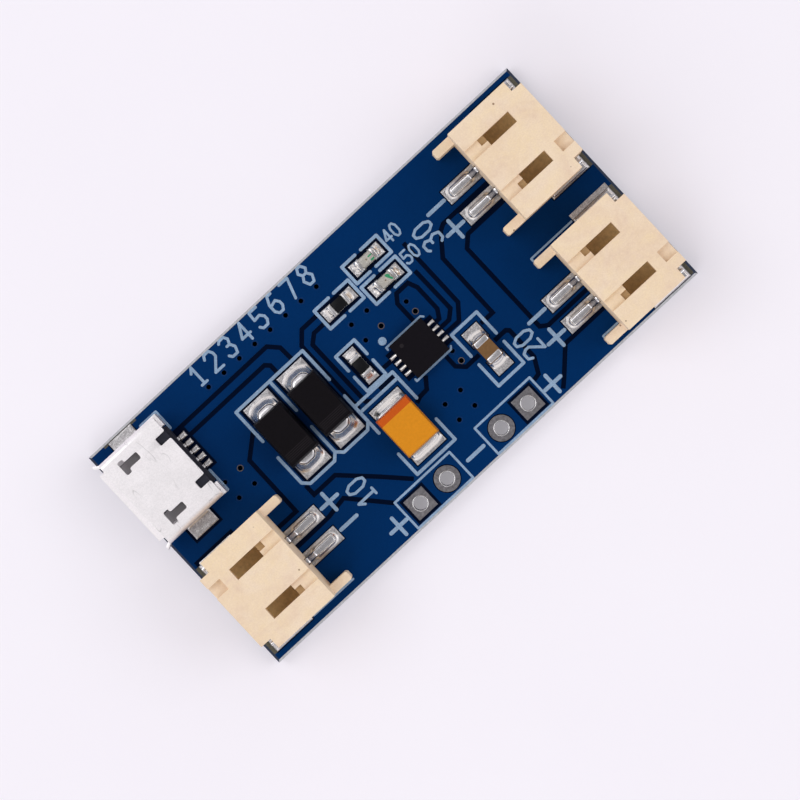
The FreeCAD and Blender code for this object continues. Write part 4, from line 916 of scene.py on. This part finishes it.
# %% [markdown]
# ## Printed lines
#
# The pale lines round the parts are screen printed: about a quarter of a millimetre wide, a hair thick,
# with round ends and round corners. A flat texture could hold them, but lines of real ink stay crisp at
# any distance. A stroke is a row of points, and each step of it is one line with its own thickness.

# %% A stroke of ink
INK_HEIGHT = 0.012
STROKE_STEP = 0.0007
SEGMENT_STEP = 0.00037
INK_WIDTH = 0.235
END_STEPS = 6


def block(shape, loop, low, high):
    """Adds a closed block to a bmesh: a loop seen from above, between two heights."""
    foot, top = [[shape.verts.new(Vector((p.x, p.y, level)) * MM) for p in loop] for level in (low, high)]
    shape.faces.new(top)
    shape.faces.new(list(reversed(foot)))
    for k in range(len(loop)):
        after = (k + 1) % len(loop)
        shape.faces.new((foot[k], foot[after], top[after], top[k]))


def ink_line(shape, start, end, width, low, height):
    """Adds one straight line with round ends to a bmesh."""
    start, end = Vector(start), Vector(end)
    heading = end - start
    loop = []
    for tip, turn in ((end, -math.pi / 2), (start, math.pi / 2)):
        first = math.atan2(heading.y, heading.x) + turn
        angles = [first + math.pi * k / END_STEPS for k in range(END_STEPS + 1)]
        loop += [tip + Vector((math.cos(a), math.sin(a))) * width / 2 for a in angles]
    block(shape, loop, low, low + height)


def ink_piece(name, strokes, finish=ink, slot="solder_mask", low=None, height=INK_HEIGHT):
    """Strokes of (points, width) as one piece, each line a hair thicker than the last where they cross."""
    shape = bmesh.new()
    for layer, (points, width) in enumerate(strokes):
        for k, (start, end) in enumerate(zip(points, points[1:])):
            thick = height + layer % 9 * STROKE_STEP + k * SEGMENT_STEP
            ink_line(shape, start, end, width, board_top if low is None else low, thick)
    return add_piece(name, to_mesh(shape, name), finish, slot)


# %% Outlines round the chip parts


def broken_frame(box, side, end, gap, shift=0.0, lengthwise=True):
    """Two bracket strokes round a box, with a gap in the middle of its long sides."""
    x0, x1, y0, y1 = box.x0 - side, box.x1 + side, box.y0 - end, box.y1 + end
    if lengthwise:
        high, low = box.y + shift + gap / 2, box.y + shift - gap / 2
        return [([(x0, high), (x0, y1), (x1, y1), (x1, high)], INK_WIDTH),
                ([(x0, low), (x0, y0), (x1, y0), (x1, low)], INK_WIDTH)]
    high, low = box.x + shift + gap / 2, box.x + shift - gap / 2
    return [([(high, y1), (x1, y1), (x1, y0), (high, y0)], INK_WIDTH),
            ([(low, y1), (x0, y1), (x0, y0), (low, y0)], INK_WIDTH)]


def lands_of(*parts):
    return whole_box(*[f"{part}_solder_joints" for part in parts])


diodes = lands_of("solar_diode", "port_diode")
left, right = diodes.x0 - 0.42, diodes.x1 + 0.37
top, bottom = diodes.y1 + 0.24, diodes.y0 - 0.33
DIODE_GAP = 1.55
CUT = 0.45
high, low = diodes.y + DIODE_GAP / 2, diodes.y - DIODE_GAP / 2
frame_strokes = [
    ([(left, high), (left, top), (right, top), (right, high)], INK_WIDTH),
    ([(left, low), (left, bottom + CUT), (left + CUT, bottom), (diodes.x - CUT, bottom),
      (diodes.x, bottom + CUT), (diodes.x, low)], INK_WIDTH),
    ([(diodes.x, bottom + CUT), (diodes.x + CUT, bottom), (right - CUT, bottom),
      (right, bottom + CUT), (right, low)], INK_WIDTH),
    ([(diodes.x, high), (diodes.x, top)], INK_WIDTH),
]
tantalum = lands_of("tantalum_capacitor")
TANTALUM_SIDE = 0.43
TANTALUM_END = 0.42
frame_strokes += broken_frame(tantalum, TANTALUM_SIDE, TANTALUM_END, gap=2.0)
low, high = tantalum.y1 + TANTALUM_END, tantalum.y1 + 0.97
left, right = tantalum.x0 - TANTALUM_SIDE, tantalum.x1 + TANTALUM_SIDE
frame_strokes += [([(left, low), (left, high), (right, high), (right, low)], INK_WIDTH)]
frame_strokes += broken_frame(lands_of("ceramic_capacitor"), side=0.48, end=0.47, gap=0.8)
frame_strokes += broken_frame(lands_of("current_resistor"), side=0.39, end=0.24, gap=0.6)
for part, side, end, gap, shift in (("lamp_resistor", 0.21, 0.35, 0.5, 0.0),
                                    ("ready_lamp", 0.3, 0.29, 0.55, -0.12),
                                    ("charging_lamp", 0.28, 0.29, 0.55, -0.12)):
    frame_strokes += broken_frame(lands_of(part), side, end, gap, shift, lengthwise=False)
HEADER_LINE = 0.17
for name in HEADERS:
    pads = whole_box(name)
    x0, x1, y0, y1 = pads.x0 - 0.44, pads.x1 + 0.44, pads.y0 - 0.25, pads.y1 + 0.32
    frame_strokes.append(([(x0, y0), (x0, y1), (x1, y1), (x1, y0), (x0, y0)], HEADER_LINE))
ink_piece("part_outlines", frame_strokes)

# %% Thin outlines of the controller, port and sockets
THIN = 0.15
HOOK = 0.2
thin_strokes = [
    ([(package.x0 - HOOK, package.y1 - 0.1), (package.x0 - HOOK, package.y1 + 0.08),
      (package.x1 + 0.05, package.y1 + 0.08), (package.x1 + HOOK, package.y1 - 0.1)], THIN),
    ([(package.x0 - HOOK, package.y0 + 0.1), (package.x0 - HOOK, package.y0 - 0.08),
      (package.x1 + 0.05, package.y0 - 0.08), (package.x1 + HOOK, package.y0 + 0.1)], THIN),
]
bracket = shell.x1 + 0.02
thin_strokes += [
    ([(bracket - 1.45, shell.y1 - 0.08), (bracket, shell.y1 - 0.08), (bracket, shell.y1 - 1.6)], 0.2),
    ([(bracket, shell.y0 + 2.15), (bracket, shell.y0 + 0.3), (bracket - 0.35, shell.y0 + 0.3)], 0.2),
]
battery = whole_box("battery_socket_housing")
solar = whole_box("solar_socket_housing")
back = battery.x0 + 0.13
thin_strokes += [
    ([(back, battery.y1 - 0.05), (back, battery.y1 + 0.25), (back + 3.83, battery.y1 + 0.25)], THIN),
    ([(back, battery.y0 + 0.58), (back, battery.y0 + 0.78), (back + 1.35, battery.y0 + 0.78)], THIN),
    ([(solar.x1 - 3.9, solar.y0 - 0.14), (solar.x1 - 0.15, solar.y0 - 0.14)], THIN),
]
ink_piece("thin_outlines", thin_strokes)

# %% [markdown]
# ## Signs and plain figures
#
# A plus or a minus stands beside every pole, and plain numbers stand beside the sockets, the lamps and the
# row of vias. They could be set in a typeface, but drawn strokes match the plotter look of real board
# print. Each figure is a few points on a small grid.

# %% Polarity signs
SIGN = 1.5
SIGN_WIDTH = 0.28


def plus(x, y):
    half = SIGN / 2
    return [([(x - half, y), (x + half, y)], SIGN_WIDTH), ([(x, y - half), (x, y + half)], SIGN_WIDTH)]


def minus(x, y):
    half = SIGN / 2
    return [([(x - half, y), (x + half, y)], SIGN_WIDTH)]


SIGN_FROM_TIP = 1.45
signs = []
for name in SOCKETS:
    pin = whole_box(f"{name}_positive_pin")
    other = whole_box(f"{name}_negative_pin")
    x = pin.x0 - SIGN_FROM_TIP if pin.x > 0 else pin.x1 + SIGN_FROM_TIP
    signs += plus(x, pin.y)
    signs += minus(x, other.y)
SIGN_FROM_PADS = 1.33
PLUS_DROP = 0.15
MINUS_DROP = 0.06
MIDDLE_MINUS = 0.08
for name, outward in zip(HEADERS, (-1, 1)):
    pads = whole_box(name)
    outer = pads.x0 if outward < 0 else pads.x1
    signs += plus(outer + outward * SIGN_FROM_PADS, pads.y - PLUS_DROP)
signs += minus(MIDDLE_MINUS, whole_box("solar_header_pads").y - MINUS_DROP)
ink_piece("polarity_signs", signs)

# %% Plain figures
FIGURES = {
    "0": [[(0.3, 0.0), (0.05, 0.25), (0.05, 0.75), (0.3, 1.0), (0.65, 1.0), (0.9, 0.75), (0.9, 0.25),
           (0.65, 0.0), (0.3, 0.0)]],
    "1": [[(0.15, 0.75), (0.5, 1.0), (0.5, 0.0)], [(0.2, 0.0), (0.8, 0.0)]],
    "2": [[(0.0, 0.8), (0.2, 1.0), (0.75, 1.0), (0.95, 0.8), (0.95, 0.6), (0.0, 0.0), (0.95, 0.0)]],
    "3": [[(0.0, 0.9), (0.2, 1.0), (0.7, 1.0), (0.9, 0.8), (0.7, 0.55), (0.4, 0.55)],
          [(0.7, 0.55), (0.95, 0.3), (0.75, 0.0), (0.2, 0.0), (0.0, 0.15)]],
    "4": [[(0.7, 0.0), (0.7, 1.0), (0.0, 0.3), (0.95, 0.3)]],
    "5": [[(0.9, 1.0), (0.1, 1.0), (0.05, 0.55), (0.65, 0.6), (0.95, 0.4), (0.95, 0.2), (0.7, 0.0),
           (0.2, 0.0), (0.0, 0.15)]],
    "6": [[(0.8, 1.0), (0.4, 1.0), (0.05, 0.6), (0.05, 0.2), (0.3, 0.0), (0.7, 0.0), (0.95, 0.2),
           (0.95, 0.4), (0.7, 0.6), (0.1, 0.5)]],
    "7": [[(0.0, 1.0), (0.95, 1.0), (0.35, 0.0)]],
    "8": [[(0.3, 0.55), (0.05, 0.75), (0.3, 1.0), (0.65, 1.0), (0.9, 0.75), (0.65, 0.55), (0.3, 0.55),
           (0.0, 0.3), (0.25, 0.0), (0.7, 0.0), (0.95, 0.3), (0.65, 0.55)]],
}
FIGURE_WIDTH = 0.56
FIGURE_PITCH = 0.75


def number(digits, x, y, height, turn, line=0.2):
    """Strokes of a number round a middle point, turned by an angle in degrees."""
    angle = math.radians(turn)
    strokes = []
    for place, digit in enumerate(digits):
        shift = (place - (len(digits) - 1) / 2) * FIGURE_PITCH
        for stroke in FIGURES[digit]:
            placed = []
            for u, v in stroke:
                across = ((u - 0.5) * FIGURE_WIDTH + shift) * height
                up = (v - 0.5) * height
                placed.append((x + across * math.cos(angle) - up * math.sin(angle),
                               y + across * math.sin(angle) + up * math.cos(angle)))
            strokes.append((placed, line))
    return strokes


vias = [(box.x, box.y) for box in loose_boxes("via_barrels")]
ROW = max(y for x, y in vias)
LABEL_HEIGHT = 1.45
LAMP_LABEL = 0.95
SIDE_LABEL = 3.2
SOLAR_LABEL = SIDE_LABEL + 0.35
ROW_LABEL = 1.12
LAMP_LABEL_SHIFT = Vector((2.52, 0.2))
LAMP_LABEL_LINE = 0.16
numbers = []
for place, x in enumerate(sorted(x for x, y in vias if ROW - y < 0.1)):
    numbers += number(str(place + 1), x, ROW + ROW_LABEL, LABEL_HEIGHT, 0)
for digits, name in (("30", "output_socket"), ("20", "battery_socket"), ("10", "solar_socket")):
    pin = whole_box(f"{name}_positive_pin")
    x = pin.x0 - SIDE_LABEL if pin.x > 0 else pin.x1 + SOLAR_LABEL
    numbers += number(digits, x, whole_box(f"{name}_housing").y, LABEL_HEIGHT, 90)
for digits, name in (("40", "ready_lamp"), ("50", "charging_lamp")):
    lamp = whole_box(f"{name}_lens")
    place = Vector((lamp.x, lamp.y)) + LAMP_LABEL_SHIFT
    numbers += number(digits, place.x, place.y, LAMP_LABEL, 0, LAMP_LABEL_LINE)
ink_piece("plain_figures", numbers)

# %% Marks on the cases
MARK_HEIGHT = 0.004
BAND_FROM = 0.42
BAND_STEP = 0.14
for name in DIODES:
    case = whole_box(f"{name}_case")
    strokes = [([(case.x0 + 0.25, case.y0 + BAND_FROM + BAND_STEP * line),
                 (case.x1 - 0.25, case.y0 + BAND_FROM + BAND_STEP * line)], 0.045) for line in range(5)]
    ink_piece(f"{name}_band", strokes, faint_ink, "black_moulding", case.z1, MARK_HEIGHT)


def dot(x, y, width):
    """One stroke so short that its round ends make a dot."""
    return [([(x - 0.005, y), (x + 0.005, y)], width)]


ink_piece("controller_corner_dot", dot(package.x0 + 0.7, package.y1 - 0.56, 0.3), faint_ink,
          "black_moulding", package.z1, MARK_HEIGHT)
ink_piece("first_lead_dot", dot(package.x0 - 0.08, package.y1 + 0.6, 0.6))
POLE_MARKS = {
    "ready_lamp": [([(0.22, 0.06), (0.46, 0.06)], 0.1), ([(0.24, -0.26), (0.44, -0.26)], 0.13)],
    "charging_lamp": [([(0.2, 0.22), (0.42, -0.2)], 0.15), ([(0.26, 0.2), (0.36, 0.1)], 0.2)],
}
for name in LAMPS:
    lens = whole_box(f"{name}_lens")
    strokes = [([(lens.x + x, lens.y + y) for x, y in points], width) for points, width in POLE_MARKS[name]]
    ink_piece(f"{name}_pole_mark", strokes, green_dye, "clear_resin", lens.z1, MARK_HEIGHT)
    ink_piece(f"{name}_chip_mark", dot(lens.x - 0.02, lens.y, 0.1), bare_copper, "clear_resin", lens.z1,
              MARK_HEIGHT)

# %% [markdown]
# ## Bare laminate and bare tin
#
# Where a land runs out to the board's edge, the mask stops with it and a strip of bare laminate shows
# between the land and the snapped edge. One land of the battery socket also reaches out from under its
# housing, as bare tin. Each of these strips is a thin plate that starts where the land ends.

# %% Bare strips
EDGE_REACH = 0.2
STRIP_HEIGHT = 0.004
STRIP_REACH = 1.0
BESIDE_EDGE = 0.3
SIDE_STRIP = 0.16
LAND_REACH = 0.38
TIN_HEIGHT = 0.03


def plates(name, strips, height, finish, slot):
    """Thin plates on the board: each is a middle line from start to end, and a width."""
    shape = bmesh.new()
    for (start, end), width in strips:
        along = (Vector(end) - Vector(start)).normalized()
        side = Vector((-along.y, along.x)) * width / 2
        corners = [Vector(start) - side, Vector(end) - side, Vector(end) + side, Vector(start) + side]
        block(shape, corners, board_top, board_top + height)
    return add_piece(name, to_mesh(shape, name), finish, slot)


half_length, half_width = board_high.x / MM - EDGE_REACH, board_high.y / MM - EDGE_REACH
strips = []
for name in SOCKETS:
    for land in socket_lands(name):
        outer = land.x1 if land.x > 0 else land.x0
        edge = half_length if land.x > 0 else -half_length
        if abs(edge - outer) < STRIP_REACH:
            strips.append(([(outer, land.y), (edge, land.y)], land.y1 - land.y0))
for land in loose_boxes("power_port_solder_joints"):
    if half_width - land.y1 < BESIDE_EDGE:
        middle = half_width - SIDE_STRIP / 2
        strips.append(([(land.x0 - 0.4, middle), (land.x1 + 0.5, middle)], SIDE_STRIP))
plates("bare_strips", strips, STRIP_HEIGHT, bare_board, "solder_mask")
land = max(loose_boxes("battery_socket_solder_joints"), key=lambda box: box.y1)
middle = land.y1 + LAND_REACH / 2
plates("wide_land", [([(land.x0, middle), (land.x1, middle)], LAND_REACH)], TIN_HEIGHT, solder, "solder")
print("bare strips:", len(strips))

# %% [markdown]
# ## Via rims
#
# A via under mask is a small dark hole with a soft rim, because the mask sags into it. The plain barrel
# of the solid is replaced by a turned rim: down the hole, round its lip and out into the board.

# %% Turned rims
HOLE = 0.165
RIM = 0.26
TENT = 0.05
TURN_STEPS = 32
VIA_PROFILE = [(RIM, board_top + 0.0005), (RIM - 0.03, board_top + 0.004), (HOLE + 0.03, board_top + 0.004),
               (HOLE + 0.01, board_top + 0.002), (HOLE, board_top - 0.03), (HOLE, TENT), (0.001, TENT),
               (0.001, 0.0), (HOLE + 0.04, 0.0), (HOLE + 0.04, board_top - 0.06)]


def turned(name, profile, places, finish, slot, *stands_for):
    """One small profile of (radius, height) turned round many places."""
    shape = bmesh.new()
    for x, y in places:
        rings = []
        for radius, z in profile:
            rings.append([shape.verts.new(Vector((x + radius * math.cos(math.tau * k / TURN_STEPS),
                                                  y + radius * math.sin(math.tau * k / TURN_STEPS), z)) * MM)
                          for k in range(TURN_STEPS)])
        for r in range(len(rings)):
            inner, outer = rings[r], rings[(r + 1) % len(rings)]
            for k in range(TURN_STEPS):
                after = (k + 1) % TURN_STEPS
                shape.faces.new((inner[k], inner[after], outer[after], outer[k])).smooth = True
    bmesh.ops.recalc_face_normals(shape, faces=shape.faces)
    return add_piece(name, to_mesh(shape, name), finish, slot, *stands_for)


via_mask = Finish("via_mask", Specular_IOR_Level=0.12)
x, y, z = via_mask.place()
# Painted shade: the via's walls below the lip and the mask that closes its foot are painted near-black.
hole_shade = via_mask.ramp(z, board_high.z - 0.05 * MM, board_high.z - 0.01 * MM, 1.0, 0.0)
fine = via_mask.effect(mottle, scale=7, contrast=0.25)
lip = via_mask.blend(fine, darker(POUR_BLUE, 0.8), darker(POUR_BLUE, 1.25))
via_mask.colour(via_mask.blend(hole_shade, lip, tone(5, 7, 12)))
via_mask.roughness(fine, 0.25, 0.4)
via_mask.relief(via_mask.grain(8), 0.002)

turned("via_rims", VIA_PROFILE, vias, via_mask, "bare_copper", "via_barrels")
WORN_NEAR = ((-12.75, 1.94), (1.28, 2.56), (3.75, 1.71), (3.73, -2.96))
WORN_RADIUS = HOLE + 0.05
WORN_SIDES = 12
WORN_WIDTH = 0.042
worn = []
for x, y in WORN_NEAR:
    via = min(vias, key=lambda place: math.hypot(place[0] - x, place[1] - y))
    worn += [([(via[0] + WORN_RADIUS * math.cos(a), via[1] + WORN_RADIUS * math.sin(a))
               for a in (math.tau * k / WORN_SIDES for k in range(WORN_SIDES + 1))], WORN_WIDTH)]
ink_piece("worn_via_rings", worn, bare_copper, "bare_copper", board_top + 0.003, 0.006)
LIP = 0.07
HEADER_HOLE = 0.5
pad_top = whole_box(*HEADERS).z1
lip_profile = [(HEADER_HOLE + LIP, pad_top - 0.01)]
lip_profile += [(HEADER_HOLE + LIP * (1 - math.cos(a)) / 2, pad_top + 0.018 * math.sin(a))
                for a in (math.pi * k / 8 for k in range(7, 0, -1))]
lip_profile += [(HEADER_HOLE - 0.004, pad_top - 0.02), (HEADER_HOLE - 0.004, pad_top - 0.2),
                (HEADER_HOLE + 0.02, pad_top - 0.2), (HEADER_HOLE + 0.02, pad_top - 0.01)]
holes = [(box.x, box.y) for name in HEADERS for box in loose_boxes(name) if box.z1 > board_top]
turned("header_hole_lips", lip_profile, holes, pin_tin, "tinned_copper")
print("vias:", len(vias), "header holes:", len(holes))

# %% [markdown]
# ## Floor, light and camera
#
# The floor is plain and pale, and the light comes from a large soft sheet with two weaker ones at other
# sides. The room itself is bright near the horizon and darker overhead, so that sloping metal gets bright
# bands, flat metal stays grey and shadows stay soft.
# The camera looks almost straight down, turned so that the board lies across the picture.

# %% Floor
FLOOR_SIZE = 3.0
FLOOR_DROP = 0.00002
floor_mesh = bpy.data.meshes.new("floor")
half = FLOOR_SIZE / 2
floor_mesh.from_pydata([(-half, -half, -FLOOR_DROP), (half, -half, -FLOOR_DROP),
                        (half, half, -FLOOR_DROP), (-half, half, -FLOOR_DROP)], [], [(0, 1, 2, 3)])
floor = bpy.data.objects.new("floor", floor_mesh)
bpy.context.scene.collection.objects.link(floor)
PAPER_GLOW = 0.32
paper = Finish("pale_paper", Roughness=0.9, Specular_IOR_Level=0.1, Emission_Strength=PAPER_GLOW)
cloud = paper.effect(mottle, scale=0.02, contrast=0.4)
paper.colour(paper.blend(cloud, tone(206, 202, 210), tone(212, 209, 215)))
path = paper.tree.nodes.new("ShaderNodeLightPath")
seen = paper.maths("MAXIMUM", path.outputs["Is Camera Ray"], path.outputs["Is Glossy Ray"])
seen = paper.maths("MAXIMUM", seen, path.outputs["Is Transmission Ray"])
glow = paper.blend(seen, (0, 0, 0, 1), tone(248, 244, 250))
paper.tree.links.new(glow, paper.shader.inputs["Emission Color"])
paper.relief(paper.grain(3), 0.002)
floor_mesh.materials.append(paper.material)
floor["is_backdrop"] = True

# %% Lights


def soft_light(name, azimuth, elevation, distance, size, power, colour=(1, 1, 1)):
    """A square sheet of light that faces the board."""
    lamp = bpy.data.lights.new(name, "AREA")
    lamp.shape = "SQUARE"
    lamp.size = size
    lamp.energy = power
    lamp.color = colour
    made = bpy.data.objects.new(name, lamp)
    bpy.context.scene.collection.objects.link(made)
    a, e = math.radians(azimuth), math.radians(elevation)
    away = Vector((math.cos(a) * math.cos(e), math.sin(a) * math.cos(e), math.sin(e)))
    made.location = away * distance
    made.rotation_mode = "QUATERNION"
    made.rotation_quaternion = away.to_track_quat("Z", "Y")
    return made


soft_light("high_sheet", azimuth=130, elevation=56, distance=0.42, size=0.26, power=0.5)
soft_light("left_sheet", azimuth=215, elevation=40, distance=0.45, size=0.24, power=0.24)
soft_light("right_sheet", azimuth=-30, elevation=46, distance=0.45, size=0.26, power=0.4)

HORIZON = 0.9
ZENITH = 0.31
world = bpy.data.worlds.new("pale_room")
bpy.context.scene.world = world
world.use_nodes = True
sky = world.node_tree.nodes["Background"]
heading = world.node_tree.nodes.new("ShaderNodeTexCoord")
split = world.node_tree.nodes.new("ShaderNodeSeparateXYZ")
world.node_tree.links.new(heading.outputs["Generated"], split.inputs["Vector"])
wall_light = spread(world.node_tree, split.outputs["Z"], 0.35, 1.0, HORIZON, ZENITH)
world.node_tree.links.new(wall_light, sky.inputs["Strength"])
sky.inputs["Color"].default_value = tone(250, 248, 251)

# %% Camera
LENS = 161.0
CAMERA_PLACE = Vector((3.269, -2.864, 251.4)) * MM
LOOKS_AT = Vector((-1.26, -2.10, 1.6)) * MM
PICTURE_TURN = -42.96
camera = bpy.data.objects.new("camera", bpy.data.cameras.new("camera"))
bpy.context.scene.collection.objects.link(camera)
camera.data.lens = LENS
camera.data.sensor_width = 36
camera.data.clip_start = 0.01
camera.data.clip_end = 10
back = (CAMERA_PLACE - LOOKS_AT).normalized()
level = Vector((math.cos(math.radians(PICTURE_TURN)), math.sin(math.radians(PICTURE_TURN)), 0))
right_way = (level - back * level.dot(back)).normalized()
up_way = back.cross(right_way)
camera.rotation_mode = "QUATERNION"
camera.rotation_quaternion = Matrix((right_way, up_way, back)).transposed().to_quaternion()
camera.location = CAMERA_PLACE
bpy.context.scene.camera = camera
bpy.context.scene.view_settings.view_transform = "Standard"

bpy.context.view_layer.update()
visual_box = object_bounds()
sizes = {"cad": [list(corner) for corner in cad_box], "visual": [list(corner) for corner in visual_box]}
for label, (low, high) in sizes.items():
    print(label, [round((b - a) / MM, 3) for a, b in zip(low, high)])
